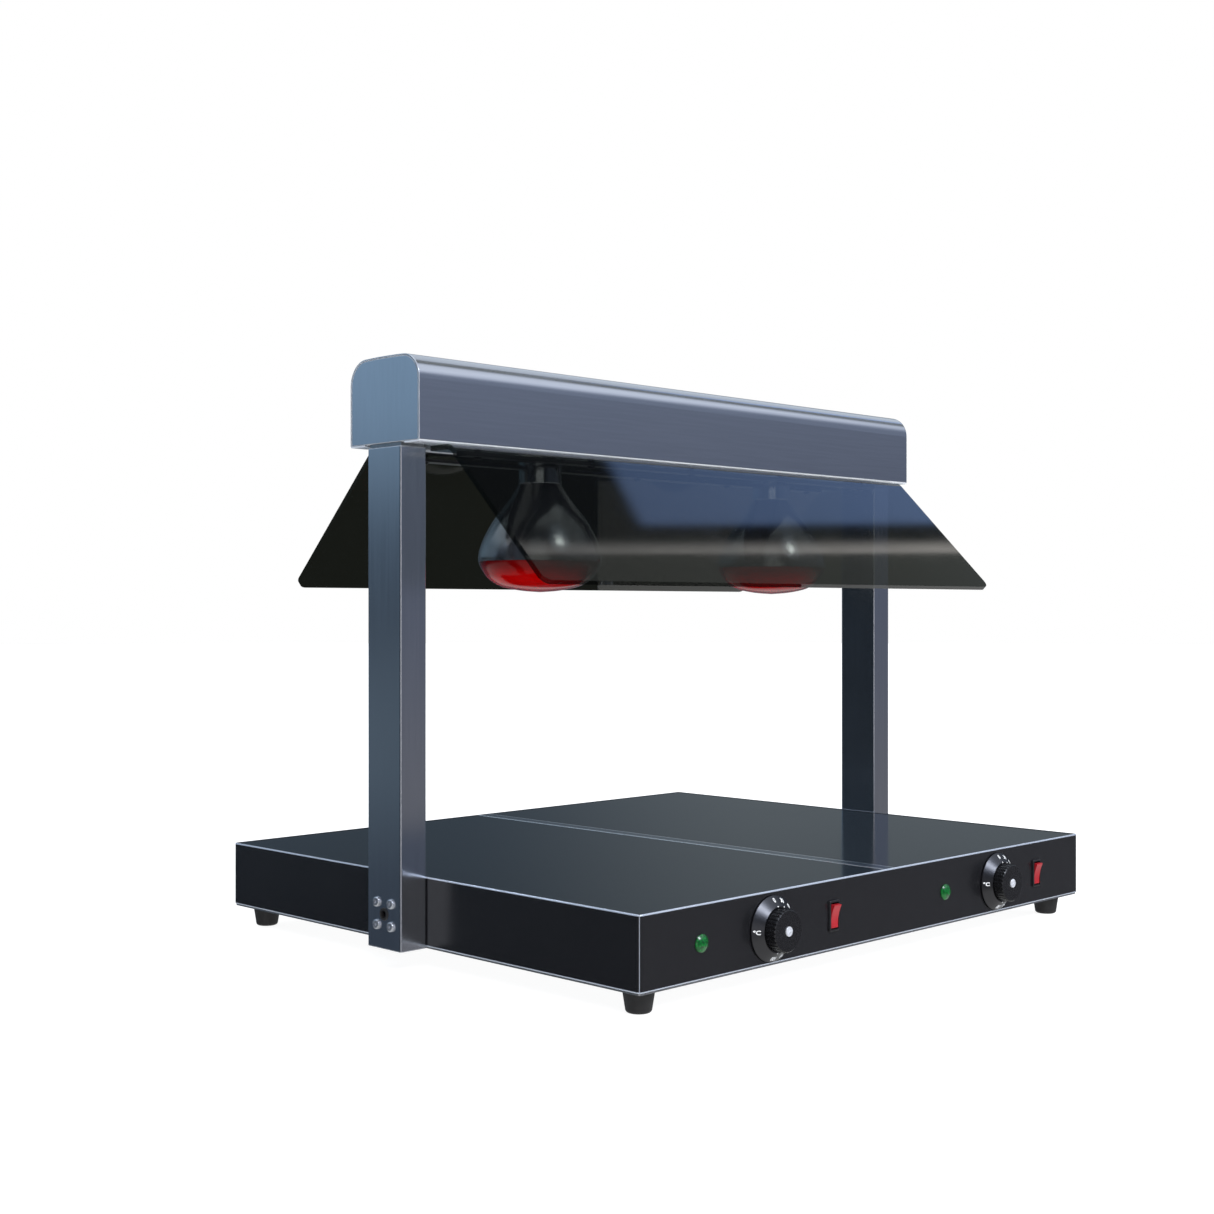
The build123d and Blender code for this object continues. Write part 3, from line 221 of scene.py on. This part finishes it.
def brushed_steel(name, stretch, colour=(0.60, 0.62, 0.66, 1.0), roughness=0.19, hem=None):
    """Satin steel with long fine brush lines and a painted highlight along the edges. Below the hem height
    the whole band carries the same painted highlight.
    """
    material, tree, shader = surface(name, colour, roughness, metallic=1.0)
    lines = tree.noise(420, stretch, detail=4.0)
    cloud = tree.noise(9, detail=2.0)
    rounded = tree.rounded(steel_edge)
    edge = tree.edge(rounded, 0.02, 0.14)
    if hem is not None:
        under = tree.step(tree.coordinate("Z"), hem, hem - hem_height)
        edge = tree.math("MAXIMUM", edge, under)
    shade = tree.mix(tree.step(lines, 0.35, 0.65), darker(colour, 0.965), colour)
    # painted highlight: the edges, and the band under the hem height, are mixed to a near-white colour and
    # made less metallic; the rounding itself is in the normal
    tree.put(shader.inputs["Base Color"], tree.mix(edge, shade, steel_edge_highlight))
    tree.put(shader.inputs["Metallic"], tree.vary(edge, 1.0, -0.45))
    rough = tree.vary(lines, roughness - 0.05, 0.05)
    tree.put(shader.inputs["Roughness"], tree.math("ADD", rough, tree.math("MULTIPLY", cloud, 0.06)))
    tree.put(shader.inputs["Normal"], tree.bump(lines, 0.025, 0.03 * mm, rounded))
    return material


fold_width = 1.6 * mm
fold_core = 0.9 * mm


def enamel():
    """Gloss black enamel on sheet metal, with a painted highlight along the folded edges."""
    black = (0.0075, 0.0075, 0.0085, 1.0)
    enamel_edge_highlight = (0.60, 0.65, 0.74, 1.0)
    material, tree, shader = surface("gloss_black_enamel", black, 0.24, specular_ior_level=0.62)
    peel = tree.noise(700, detail=2.0)
    cloud = tree.noise(14, detail=3.0)
    near = [tree.step(tree.depth_in("base_casing", axis), fold_width, fold_core) for axis in range(3)]
    # an edge is where a point is near the side of the box along two axes
    pairs = [tree.math("MULTIPLY", near[i], near[(i + 1) % 3]) for i in range(3)]
    edge = tree.math("MAXIMUM", tree.math("MAXIMUM", pairs[0], pairs[1]), pairs[2])
    rounded = tree.rounded(enamel_edge)
    # painted highlight: a bluish near-white colour and some metal along the edges of the casing box
    tree.put(shader.inputs["Base Color"], tree.mix(edge, black, enamel_edge_highlight))
    tree.put(shader.inputs["Metallic"], tree.math("MULTIPLY", edge, 0.6))
    tree.put(shader.inputs["Roughness"], tree.vary(cloud, 0.19, 0.10))
    tree.put(shader.inputs["Normal"], tree.bump(peel, 0.06, 0.08 * mm, rounded))
    return material


def plate_glass():
    """Black ceramic glass: smooth, with a faint speckle under the surface."""
    material, tree, shader = surface("ceramic_glass_black", grey(0.006), 0.11, ior=1.52)
    speck = tree.add("TexVoronoi", feature="F1")
    tree.put(speck.inputs["Vector"], tree.place())
    tree.put(speck.inputs["Scale"], 900.0)
    dots = tree.step(speck.outputs["Distance"], 0.10, 0.22, 1.0, 0.0)
    black, dot = (0.006, 0.007, 0.008, 1), (0.030, 0.034, 0.038, 1)
    tree.put(shader.inputs["Base Color"], tree.mix(dots, black, dot))
    tree.put(shader.inputs["Roughness"], tree.vary(tree.noise(7, detail=3.0), 0.08, 0.07))
    tree.put(shader.inputs["Normal"], tree.bump(tree.noise(5, detail=1.0), 0.02, 2 * mm))
    return material


pane_tint = (0.43, 0.44, 0.42, 1.0)
pane_clear = (0.88, 0.89, 0.87, 1.0)
cut_edge_gloss = 0.15


def smoked_glass():
    """Tinted pane: the camera sees what is behind it darkened, with a reflection by angle over it."""
    material = bpy.data.materials.new("smoked_glass")
    tree = Tree(material)
    behind = tree.add("BsdfTransparent")
    seen = tree.add("LightPath").outputs["Is Camera Ray"]
    tree.put(behind.inputs["Color"], tree.mix(seen, pane_clear, pane_tint))
    mirror = tree.add("BsdfGlossy")
    tree.put(mirror.inputs["Color"], grey(1.0))
    tree.put(mirror.inputs["Roughness"], tree.vary(tree.noise(26, detail=4.0), 0.015, 0.03))
    fresnel = tree.add("Fresnel")
    tree.put(fresnel.inputs["IOR"], 1.50)
    geometry = tree.add("NewGeometry")
    outside = tree.math("SUBTRACT", 1.0, geometry.outputs["Backfacing"])
    # the cut edges at the two ends mirror less than the broad faces
    sideways = tree.math("ABSOLUTE", tree.vector("DOT_PRODUCT", geometry.outputs["Normal"], (1, 0, 0)))
    outside = tree.math("MULTIPLY", outside, tree.step(sideways, 0.2, 0.5, 1.0, cut_edge_gloss))
    share = tree.math("MULTIPLY", fresnel.outputs[0], outside)
    tree.show(tree.layers(share, behind.outputs[0], mirror.outputs[0]))
    return material


def rough_plastic(name, colour, roughness, grain=1500, strength=0.12):
    """Moulded plastic or rubber with a fine pitted grain."""
    material, tree, shader = surface(name, colour, roughness)
    pits = tree.noise(grain, detail=3.0)
    cloud = tree.step(tree.noise(60, detail=2.0), 0.3, 0.7)
    tree.put(shader.inputs["Base Color"], tree.mix(cloud, darker(colour, 0.78), colour))
    tree.put(shader.inputs["Roughness"], tree.vary(pits, roughness - 0.07, 0.14))
    tree.put(shader.inputs["Normal"], tree.bump(pits, strength, 0.12 * mm))
    return material


def cast_metal(name, colour, roughness, metallic=1.0):
    """Plain metal for screws, straps and inner parts, with fine machining marks."""
    material, tree, shader = surface(name, colour, roughness, metallic=metallic)
    marks = tree.noise(400, detail=4.0)
    shade = tree.mix(tree.step(marks, 0.3, 0.7), darker(colour, 0.80), colour)
    tree.put(shader.inputs["Base Color"], shade)
    tree.put(shader.inputs["Roughness"], tree.vary(marks, roughness - 0.08, 0.16))
    tree.put(shader.inputs["Normal"], tree.bump(marks, 0.08, 0.1 * mm))
    return material


def skirt_black():
    """Black anodised metal of the dial skirts, with a fine grain."""
    material, tree, shader = surface("dial_black_anodised", grey(0.02), 0.30, metallic=1.0)
    pits = tree.noise(1800, detail=3.0)
    tree.put(shader.inputs["Base Color"], tree.mix(pits, grey(0.062, 0.005), grey(0.086, 0.006)))
    tree.put(shader.inputs["Roughness"], tree.vary(pits, 0.24, 0.12))
    tree.put(shader.inputs["Normal"], tree.bump(pits, 0.10, 0.06 * mm))
    return material


def divider_steel():
    """Rolled steel strip between the plates, duller in the middle, with a painted highlight along both
    edges.
    """
    material, tree, shader = surface("divider_steel", grey(0.5), 0.22, metallic=1.0)
    low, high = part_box("divider_strip")
    half = (high.x - low.x) / 2
    rim = tree.step(tree.depth_in("divider_strip", 0), half * 0.42, half * 0.28)
    # painted highlight: white along both edges of the strip, set by position
    tree.put(shader.inputs["Base Color"], tree.mix(rim, (0.30, 0.33, 0.38, 1), grey(1.0)))
    fine = tree.noise(900, detail=2.0)
    tree.put(shader.inputs["Roughness"], tree.vary(fine, 0.16, 0.10))
    tree.put(shader.inputs["Normal"], tree.bump(fine, 0.05, 0.05 * mm))
    return material


def lens_green():
    """Green pilot lens with a fine faceted pattern under a clear gloss."""
    material, tree, shader = surface("green_lens", (0.0, 0.20, 0.03, 1), 0.22, coat_weight=0.3, ior=1.5)
    facets = tree.add("TexVoronoi", feature="F1")
    tree.put(facets.inputs["Vector"], tree.place())
    tree.put(facets.inputs["Scale"], 520.0)
    spread = tree.step(facets.outputs["Distance"], 0.1, 0.8)
    tree.put(shader.inputs["Base Color"], tree.mix(spread, (0.001, 0.15, 0.020, 1), (0.0, 0.050, 0.008, 1)))
    tree.put(shader.inputs["Normal"], tree.bump(facets.outputs["Distance"], 0.2, 0.5 * mm))
    return material


canopy_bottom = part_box("canopy_housing")[0].z
steel_x = brushed_steel("brushed_steel_lengthways", (0.03, 1, 1))
# the canopy's lower hem carries a band of painted highlight
steel_canopy = brushed_steel("brushed_steel_canopy", (0.03, 1, 1), hem=canopy_bottom + 2.6 * mm)
steel_z = brushed_steel("brushed_steel_upright", (1, 1, 0.03))
steel_end = brushed_steel("brushed_steel_end_cap", (1, 1, 0.05), colour=(0.66, 0.69, 0.74, 1.0))
black_enamel = enamel()
sleeve_steel = brushed_steel("brushed_steel_sleeve", (1, 1, 0.05), (0.42, 0.43, 0.46, 1.0), 0.12)
black_coat = rough_plastic("black_coated_steel", (0.009, 0.009, 0.010, 1), 0.42)
ceramic = plate_glass()
smoked = smoked_glass()
rubber = rough_plastic("black_rubber", (0.016, 0.015, 0.015, 1), 0.52)
plastic = rough_plastic("black_plastic", (0.010, 0.010, 0.011, 1), 0.36)
grip_plastic = rough_plastic("knob_black_plastic", (0.006, 0.006, 0.007, 1), 0.27, grain=900, strength=0.05)
red = rough_plastic("red_plastic", (0.36, 0.010, 0.016, 1), 0.34, strength=0.05)
insulation = rough_plastic("mineral_wool", (0.46, 0.42, 0.33, 1), 0.9, grain=300, strength=0.6)
gasket = rough_plastic("black_silicone", (0.02, 0.02, 0.02, 1), 0.55)
mat = rough_plastic("silicone_heating_mat", (0.28, 0.07, 0.03, 1), 0.6, grain=500)
sleeve = rough_plastic("wire_sleeve", (0.55, 0.53, 0.48, 1), 0.6)
porcelain = rough_plastic("white_ceramic", (0.74, 0.72, 0.67, 1), 0.28, strength=0.04)
bright = cast_metal("bright_steel", (0.74, 0.75, 0.78, 1), 0.24, metallic=0.75)
screw_steel = cast_metal("screw_steel", (0.80, 0.81, 0.84, 1), 0.30, metallic=0.45)
socket_steel = cast_metal("socket_steel", (0.62, 0.64, 0.68, 1), 0.24, metallic=0.88)
plain = cast_metal("zinc_plated_steel", (0.52, 0.53, 0.54, 1), 0.36)
alloy = cast_metal("aluminium_sheet", (0.72, 0.73, 0.74, 1), 0.34)
brass = cast_metal("brass", (0.72, 0.50, 0.22, 1), 0.30)
dial_black = skirt_black()
divider = divider_steel()
green = lens_green()

finishes = {
    "base_casing": black_enamel, "bottom_cover": plain, "plate_support_frame": plain,
    "plate_gaskets": gasket, "hot_plate_left": ceramic, "hot_plate_right": ceramic,
    "divider_strip": divider, "heat_spreaders": alloy, "heating_mats": mat,
    "insulation_boards": insulation, "insulation_trays": plain, "casing_screws": bright,
    "rubber_feet": rubber, "foot_screws": bright, "thermostats": plain,
    "thermostat_shaft_left": bright, "thermostat_shaft_right": bright,
    "dial_skirt_left": dial_black, "dial_skirt_right": dial_black,
    "knob_left": grip_plastic, "knob_right": grip_plastic,
    "knob_screw_left": screw_steel, "knob_screw_right": screw_steel, "capillary_sensors": brass,
    "switch_housings": plastic, "switch_terminals": brass, "rocker_left": red, "rocker_right": red,
    "pilot_lenses": green, "pilot_bodies": plastic, "post_left": steel_z, "post_right": steel_z,
    "post_screws": socket_steel, "post_nut_plates": plain, "cable_eyelets": rubber,
    "post_top_blocks": plain, "post_top_screws": bright, "post_end_plugs": plastic,
    "canopy_housing": steel_canopy, "canopy_end_caps": steel_end, "lamp_mounting_plate": steel_x,
    "holder_sleeves": sleeve_steel, "lamp_holders": porcelain, "holder_contacts": brass,
    "bulb_cap_left": brass, "bulb_cap_right": brass,
    "bulb_filament_left": plain, "bulb_filament_right": plain, "glass_guard_front": smoked,
    "glass_guard_rear": smoked, "glass_gaskets": gasket, "glass_clamp_rails": black_coat,
    "glass_clamp_screws": black_coat, "terminal_block": porcelain, "internal_wiring": sleeve,
    "cord_grip": plastic, "mains_cable": rubber, "mains_plug": plastic,
}

for name, material in finishes.items():
    nodes[name].data.materials.clear()
    nodes[name].data.materials.append(material)


# ================================================================ pieces built here
def new_piece(name, mesh, body, slot, *materials):
    """Adds a mesh as a piece that rides on a body, with its materials. The slot is not used."""
    piece = bpy.data.objects.new(name, mesh)
    bpy.context.scene.collection.objects.link(piece)
    for material in materials:
        mesh.materials.append(material)
    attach(piece, body)
    return piece


on_axis = 1e-7


def lathe(profile, centre, segments):
    """Closed mesh turned from (radius, height) points about an upright line through centre."""
    mesh = bmesh.new()
    rings = []
    for radius, height in profile:
        if radius < on_axis:
            rings.append([mesh.verts.new((centre[0], centre[1], height))])
            continue
        turn = [2 * pi * i / segments for i in range(segments)]
        rings.append([mesh.verts.new((centre[0] + radius * cos(a), centre[1] + radius * sin(a), height))
                      for a in turn])
    for low, high in zip(rings, rings[1:]):
        for i in range(segments):
            j = (i + 1) % segments
            corners = [low[i % len(low)], low[j % len(low)], high[j % len(high)], high[i % len(high)]]
            mesh.faces.new(list(dict.fromkeys(corners)))
    bmesh.ops.recalc_face_normals(mesh, faces=mesh.faces)
    for face in mesh.faces:
        face.smooth = True
    return mesh


def finished(mesh, name):
    data = bpy.data.meshes.new(name)
    mesh.to_mesh(data)
    mesh.free()
    return data


# ---------------------------------------------------------------- lamps
# Half profile of the envelope: radius and height above its lowest point, in millimetres.
bulb_points = [
    (0, 0), (20, 1.6), (40, 6), (52, 13.5), (57.5, 20.5), (61.4, 27.5), (62.5, 34.5), (60.6, 44.5),
    (56.6, 55), (47.8, 71), (36.4, 86), (29.4, 95.5), (24.0, 104), (20.6, 110), (18.7, 115), (17.4, 128),
    (12.6, 143),
]
red_top = 30.0
rim_height = 0.9
points_between = 4
lamp_segments = 128


def curve_through(p, q, r, s, t):
    """Catmull-Rom curve through q and r, between them at t."""
    steady, slope = 2 * q, r - p
    bend, twist = 2 * p - 5 * q + 4 * r - s, 3 * q - p - 3 * r + s
    return 0.5 * (steady + slope * t + bend * t ** 2 + twist * t ** 3)


def rounded_through(points, pieces):
    """Points along a smooth line through the given ones."""
    line = []
    ends = [points[0]] + points + [points[-1]]
    for a, b, c, d in zip(ends, ends[1:], ends[2:], ends[3:]):
        for i in range(pieces):
            line.append(tuple(curve_through(*four, i / pieces) for four in zip(a, b, c, d)))
    return line + [points[-1]]


def lamp_red():
    """Ruby glass front of the lamp, with painted light and shade: painted light on the side facing down and
    towards the front left, painted shade towards the top of the red part, a painted floor reflection on the
    underside near the outline, and a faint painted glow.
    """
    deep, painted_light_red, painted_floor_reflection = (0.014, 0.0002, 0.0004, 1), (0.40, 0.0006, 0.0006, 1), (0.40, 0.12, 0.11, 1)
    material, tree, shader = surface("ruby_lamp_glass", (0.6, 0.004, 0.004, 1), 0.12, ior=1.28)
    normal = tree.add("NewGeometry").outputs["Normal"]
    # painted light: how bright the red is depends on which way the surface faces, not on light through the
    # glass
    painted_light_side = tree.vector("DOT_PRODUCT", normal, Vector((-0.62, -0.30, -0.72)).normalized())
    swirl = tree.math("SUBTRACT", tree.noise(22, detail=2.0), 0.5)
    level = tree.math("ADD", painted_light_side, tree.math("MULTIPLY", swirl, 0.5))
    shade = tree.mix(tree.step(level, 0.42, 0.98), deep, painted_light_red)
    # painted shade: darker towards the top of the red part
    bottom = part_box("bulb_glass_left")[0].z
    depth = tree.step(tree.coordinate("Z"), bottom + 27 * mm, bottom + 10 * mm, 0.30, 1.0)
    shade = tree.mix(depth, (0.010, 0.0002, 0.0003, 1), shade)
    # painted reflection of a pale floor on the underside, at grazing angles
    facing = tree.add("LayerWeight")
    tree.put(facing.inputs["Blend"], 0.35)
    underside = tree.step(tree.vector("DOT_PRODUCT", normal, (0, 0, -1)), 0.55, 0.98)
    pale = tree.math("MULTIPLY", underside, tree.step(facing.outputs["Facing"], 0.80, 0.99))
    shade = tree.mix(pale, shade, painted_floor_reflection)
    tree.put(shader.inputs["Base Color"], shade)
    # painted glow: the red gives a little light of its own though the lamp is off
    tree.put(shader.inputs["Emission Color"], shade)
    tree.put(shader.inputs["Emission Strength"], 0.16)
    return material


def lamp_smoke():
    """Dark mirrored reflector coat seen through the clear glass of the lamp's upper part."""
    thin, thick = (0.022, 0.023, 0.028, 1), (0.006, 0.006, 0.008, 1)
    material, tree, shader = surface("smoky_lamp_glass", thick, 0.07, ior=2.3, coat_weight=0.6)
    cloud = tree.noise(30, detail=3.0)
    tree.put(shader.inputs["Base Color"], tree.mix(cloud, thick, thin))
    tree.put(shader.inputs["Roughness"], tree.vary(cloud, 0.13, 0.10))
    return material


smoky_glass = lamp_smoke()
ruby_glass = lamp_red()
rim_metal = cast_metal("aluminised_rim", (0.80, 0.78, 0.76, 1), 0.30)


def lamp(side):
    """Envelope of one lamp: smoky reflector above, ruby front below, and the pale rim where they meet."""
    name = f"lamp_envelope_{side}"
    low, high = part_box(f"bulb_glass_{side}")
    centre = (low + high) / 2
    profile = [(max(r, 0) * mm, low.z + h * mm) for r, h in rounded_through(bulb_points, points_between)]
    top = low.z + bulb_points[-1][1] * mm
    mesh = lathe([(0, low.z)] + profile[1:] + [(0, top)], centre, lamp_segments)
    smoky_zone, ruby_zone, rim_zone = range(3)
    for face in mesh.faces:
        height = (face.calc_center_median().z - low.z) / mm
        if height < red_top:
            face.material_index = ruby_zone
        elif height < red_top + rim_height:
            face.material_index = rim_zone
        else:
            face.material_index = smoky_zone
    envelope = new_piece(name, finished(mesh, name), f"bulb_{side}_glass", "lamp_glass",
                         smoky_glass, ruby_glass, rim_metal)
    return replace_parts(envelope, f"bulb_glass_{side}")


for side in sides:
    lamp(side)

# ---------------------------------------------------------------- dial print
print_white = rough_plastic("white_print", (0.82, 0.82, 0.80, 1), 0.5, strength=0.03)
dial_numbers = ("0", "30", "40", "50", "60", "70", "80", "90", "100")
first_number_angle = -4.0
last_number_angle = 186.0
unit_angle = 270.0
number_size = 4.8 * mm
number_ring = 3.7 * mm
dot_size = 7.0 * mm
dot_ring = 7.0 * mm
unit_size = 5.0 * mm
print_lift = 0.06 * mm
print_thickness = 0.05 * mm
stroke_swell = 0.035
cast_start = 10 * mm


def lettering(text, size):
    """Flat outline mesh of a short text, centred, as a list of its vertices and faces."""
    curve = bpy.data.curves.new("lettering", "FONT")
    curve.body = text
    curve.size = size
    curve.align_x = "CENTER"
    curve.align_y = "CENTER"
    curve.extrude = print_thickness / 2
    curve.offset = stroke_swell * size
    carrier = bpy.data.objects.new("lettering", curve)
    bpy.context.scene.collection.objects.link(carrier)
    shown = carrier.evaluated_get(bpy.context.evaluated_depsgraph_get())
    mesh = bpy.data.meshes.new_from_object(shown)
    bpy.data.objects.remove(carrier)
    return [v.co.copy() for v in mesh.vertices], [tuple(f.vertices) for f in mesh.polygons]


def dial_print(side):
    """White numbers and the temperature unit, laid on the cone of one dial skirt."""
    node = f"dial_skirt_{side}"
    low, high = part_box(node)
    centre = (low + high) / 2
    skirt = BVHTree.FromPolygons([v.co for v in nodes[node].data.vertices],
                                 [tuple(f.vertices) for f in nodes[node].data.polygons])
    outer = (high.x - low.x) / 2
    gap = (last_number_angle - first_number_angle) / (len(dial_numbers) - 1)
    # each mark: text, size, clock angle, the angle it is turned by, distance in from the rim
    marks = []
    for i, number in enumerate(dial_numbers):
        angle = first_number_angle + i * gap
        marks.append((number, number_size, angle, angle, number_ring))
        marks.append((".", dot_size, angle, angle, dot_ring))
    marks.append(("°C", unit_size, unit_angle, 0.0, number_ring))
    mesh = bmesh.new()
    for text, size, angle, turn, ring in marks:
        points, faces = lettering(text, size)
        clock, spin = radians(angle), radians(turn)
        middle = Vector((sin(clock), 0, cos(clock))) * (outer - ring)
        across = Vector((cos(spin), 0, -sin(spin)))
        up = Vector((sin(spin), 0, cos(spin)))
        made = []
        for point in points:
            place = centre + middle + across * point.x + up * point.y
            hit = skirt.ray_cast(Vector((place.x, low.y - cast_start, place.z)), Vector((0, 1, 0)))[0]
            depth = hit.y if hit is not None else high.y
            made.append(mesh.verts.new((place.x, depth - print_lift - point.z, place.z)))
        for face in faces:
            mesh.faces.new([made[i] for i in face])
    bmesh.ops.remove_doubles(mesh, verts=mesh.verts, dist=1e-7)
    bmesh.ops.recalc_face_normals(mesh, faces=mesh.faces)
    return new_piece(f"dial_print_{side}", finished(mesh, f"dial_print_{side}"), f"knob_{side}_body",
                     "dial_black", print_white)


for side in sides:
    dial_print(side)

# ================================================================ light, floor and camera
# Colours the object mirrors, in linear red, green and blue
dim_room = (0.030, 0.036, 0.046)
right_wall = (0.090, 0.101, 0.142)
right_wall_above = (0.085, 0.105, 0.140)
right_wall_below = (0.075, 0.060, 0.030)
left_wall = (0.012, 0.020, 0.034)
left_window = (0.220, 0.335, 0.455)
left_skirting = (0.085, 0.115, 0.135)
back_wall = (0.034, 0.052, 0.070)
back_wall_lit = (0.100, 0.105, 0.100)
blue_sky = (0.36, 0.58, 1.12)
pale_sky = (0.62, 0.68, 0.76)
window_bar = (1.00, 0.98, 0.94)
window_bar_end = (0.55, 0.50, 0.45)
garden = (0.165, 0.175, 0.155)
ceiling = (1.10, 1.16, 1.30)
front_upper_wall = (0.80, 0.86, 0.98)
side_upper_wall = (0.55, 0.66, 0.80)
near_floor = (0.62, 0.62, 0.60)
viewer_wall = (0.95, 0.95, 1.00)
viewer_window = (0.85, 0.90, 1.05)
lamp_halo = (1.5, 1.7, 2.2)
lamp_core = (15.0, 15.8, 17.0)
white = (1.0, 1.0, 1.0, 1.0)
behind_glass = (0.044, 0.047, 0.040, 1.0)


def studio():
    """White to the camera. Everything else sees a dim cool room with bright windows and a ceiling."""
    world = bpy.data.worlds.new("studio")
    bpy.context.scene.world = world
    tree = Tree(world)
    direction = tree.add("TexCoord").outputs["Generated"]
    x, y, z = tree.split(direction)
    rooms = []

    def towards(*axis):
        return tree.vector("DOT_PRODUCT", direction, Vector(axis).normalized())

    def both(*shares):
        product = shares[0]
        for other in shares[1:]:
            product = tree.math("MULTIPLY", product, other)
        return product

    def room(colour, *shares):
        rooms.append((colour, both(*shares)))

    # walls at eye level
    right, left, back = towards(1, -1, 0), towards(-1, 1, 0), towards(1, 1, 0)
    level = tree.window(z, -0.9, 0.38, 0.25)
    on_right = both(tree.step(right, 0.45, 0.85), level)
    room(right_wall, on_right)
    room(right_wall_above, on_right, tree.step(z, 0.03, 0.16))
    room(right_wall_below, on_right, tree.step(z, 0.0, -0.12))
    near_end = tree.step(tree.math("ADD", x, y), -0.16, 0.06, 0.18, 1.0)
    on_left = both(tree.step(left, 0.35, 0.85), level, near_end)
    room(left_wall, on_left)
    room(left_window, on_left, tree.step(z, 0.020, 0.115))
    room(left_skirting, on_left, tree.window(z, -0.105, -0.050, 0.05))
    on_back = both(tree.step(back, 0.45, 0.85), level)
    room(back_wall, on_back)
    room(back_wall_lit, on_back, tree.step(right, -0.10, 0.10))
    # the tall window that the front guard mirrors: sky over a bright bar over a garden
    above = both(tree.step(z, 0.30, 0.48), tree.step(x, 0.25, 0.5))
    roof_line = both(x, tree.vary(y, 0.91, 1.03))
    open_sky = tree.step(tree.math("SUBTRACT", roof_line, z), -0.008, 0.008)
    room(blue_sky, above, open_sky, tree.step(y, 0.0455, 0.0515), tree.step(y, 0.115, 0.090))
    room(pale_sky, above, tree.step(y, 0.090, 0.115))
    bar = both(tree.step(y, 0.0312, 0.0318), tree.step(y, 0.0410, 0.0325))
    room(window_bar, above, bar)
    room(window_bar_end, above, bar, tree.step(x, 0.70, 0.85))
    room(garden, above, tree.step(y, 0.0316, 0.0306), tree.step(y, -0.20, -0.05))
    # ceiling, the walls that meet it, and the floor seen steeply
    room(ceiling, tree.step(z, 0.80, 0.93))
    high = tree.step(z, 0.34, 0.58)
    room(front_upper_wall, tree.step(y, -0.12, -0.26), tree.step(x, 0.1, 0.3), high)
    room(side_upper_wall, tree.step(x, -0.10, -0.24), tree.step(y, 0.2, 0.4), high)
    room(near_floor, tree.step(z, -0.30, -0.42))
    # bright wall behind the viewer, and a window higher up on it
    room(viewer_wall, tree.step(towards(-1, -1, 0.03), 0.90, 0.97))
    room(viewer_window, tree.step(towards(-0.62, -0.55, 0.56), 0.93, 0.985))
    # small hot lamp high in front, which gives the bulbs and dials their sparkle
    hot_lamp = towards(0.03, -0.755, 0.655)
    room(lamp_halo, tree.step(hot_lamp, 0.93, 0.985))
    room(lamp_core, tree.step(hot_lamp, 0.9850, 0.9980))

    total = dim_room
    for colour, share in rooms:
        total = tree.vector("ADD", total, tree.vector("SCALE", colour, share))
    # the far corner on the object's left is darker
    total = tree.vector("SCALE", total, tree.step(towards(-0.82, 0.57, 0), 0.970, 0.992, 1.0, 0.35))
    room_light, backdrop = tree.add("Background"), tree.add("Background")
    tree.put(room_light.inputs["Color"], total)
    tree.put(backdrop.inputs["Color"], tree.mix(tree.past_glass(), white, behind_glass))
    seen = tree.add("LightPath").outputs["Is Camera Ray"]
    tree.show(tree.layers(seen, room_light.outputs[0], backdrop.outputs[0]), "OutputWorld")


studio()
bpy.context.scene.view_settings.view_transform = "Standard"


def soft_light(name, place, aim, size, power, colour=(1, 1, 1)):
    """Large soft panel that lights matt surfaces; the room above gives the reflections."""
    data = bpy.data.lights.new(name, "AREA")
    data.shape = "DISK"
    data.size = size
    data.energy = power
    data.color = colour
    light = bpy.data.objects.new(name, data)
    light.location = place
    light.rotation_euler = (Vector(aim) - Vector(place)).to_track_quat("-Z", "Y").to_euler()
    light.visible_glossy = False
    light.visible_camera = False
    bpy.context.scene.collection.objects.link(light)


middle = (cad_low + cad_high) / 2
soft_light("key", (-1.6, -2.4, 2.2), middle, 2.0, 70, (1.0, 0.98, 0.96))
soft_light("fill", (2.2, -1.8, 1.4), middle, 2.0, 35, (0.92, 0.96, 1.0))
soft_light("back", (0.6, 2.6, 2.0), middle, 2.0, 30)


floor_radius = 14.0
floor_drop = 0.2 * mm


def floor():
    """Pale studio floor: white to the camera with a faint soft shadow, matt to everything else."""
    mesh = bmesh.new()
    bmesh.ops.create_circle(mesh, cap_ends=True, segments=96, radius=floor_radius)
    data = finished(mesh, "studio_floor")
    piece = bpy.data.objects.new("studio_floor", data)
    piece.location.z = -floor_drop
    piece.visible_glossy = False
    bpy.context.scene.collection.objects.link(piece)
    material = bpy.data.materials.new("pale_floor")
    tree = Tree(material)
    matt, soft = tree.add("BsdfDiffuse"), tree.add("BsdfDiffuse")
    tree.put(matt.inputs["Color"], tree.mix(tree.noise(3, detail=2.0), grey(0.90), grey(0.92)))
    away = tree.vector("LENGTH", tree.add("TexCoord").outputs["Object"], (0, 0, 0))
    glow = tree.add("Emission")
    tree.put(glow.inputs["Color"], tree.mix(tree.past_glass(), white, behind_glass))
    tree.put(glow.inputs["Strength"], tree.step(away, 0.5, 1.5, 0.90, 1.0))
    tree.put(soft.inputs["Color"], tree.mix(tree.past_glass(), grey(0.30), grey(0.0)))
    shade = tree.add("AddShader")
    tree.put(shade.inputs[0], soft.outputs[0])
    tree.put(shade.inputs[1], glow.outputs[0])
    seen = tree.add("LightPath").outputs["Is Camera Ray"]
    tree.show(tree.layers(seen, matt.outputs[0], shade.outputs[0]))
    data.materials.append(material)


floor()

eye = Vector((-1.3402, -1.25275, 0.3385))
view_turn = -45
lens_length = 50
film_width = 36
camera = bpy.data.objects.new("camera", bpy.data.cameras.new("camera"))
camera.data.lens = lens_length
camera.data.sensor_width = film_width
camera.location = eye
camera.rotation_euler = (radians(90), 0, radians(view_turn))
bpy.context.scene.collection.objects.link(camera)
bpy.context.scene.camera = camera
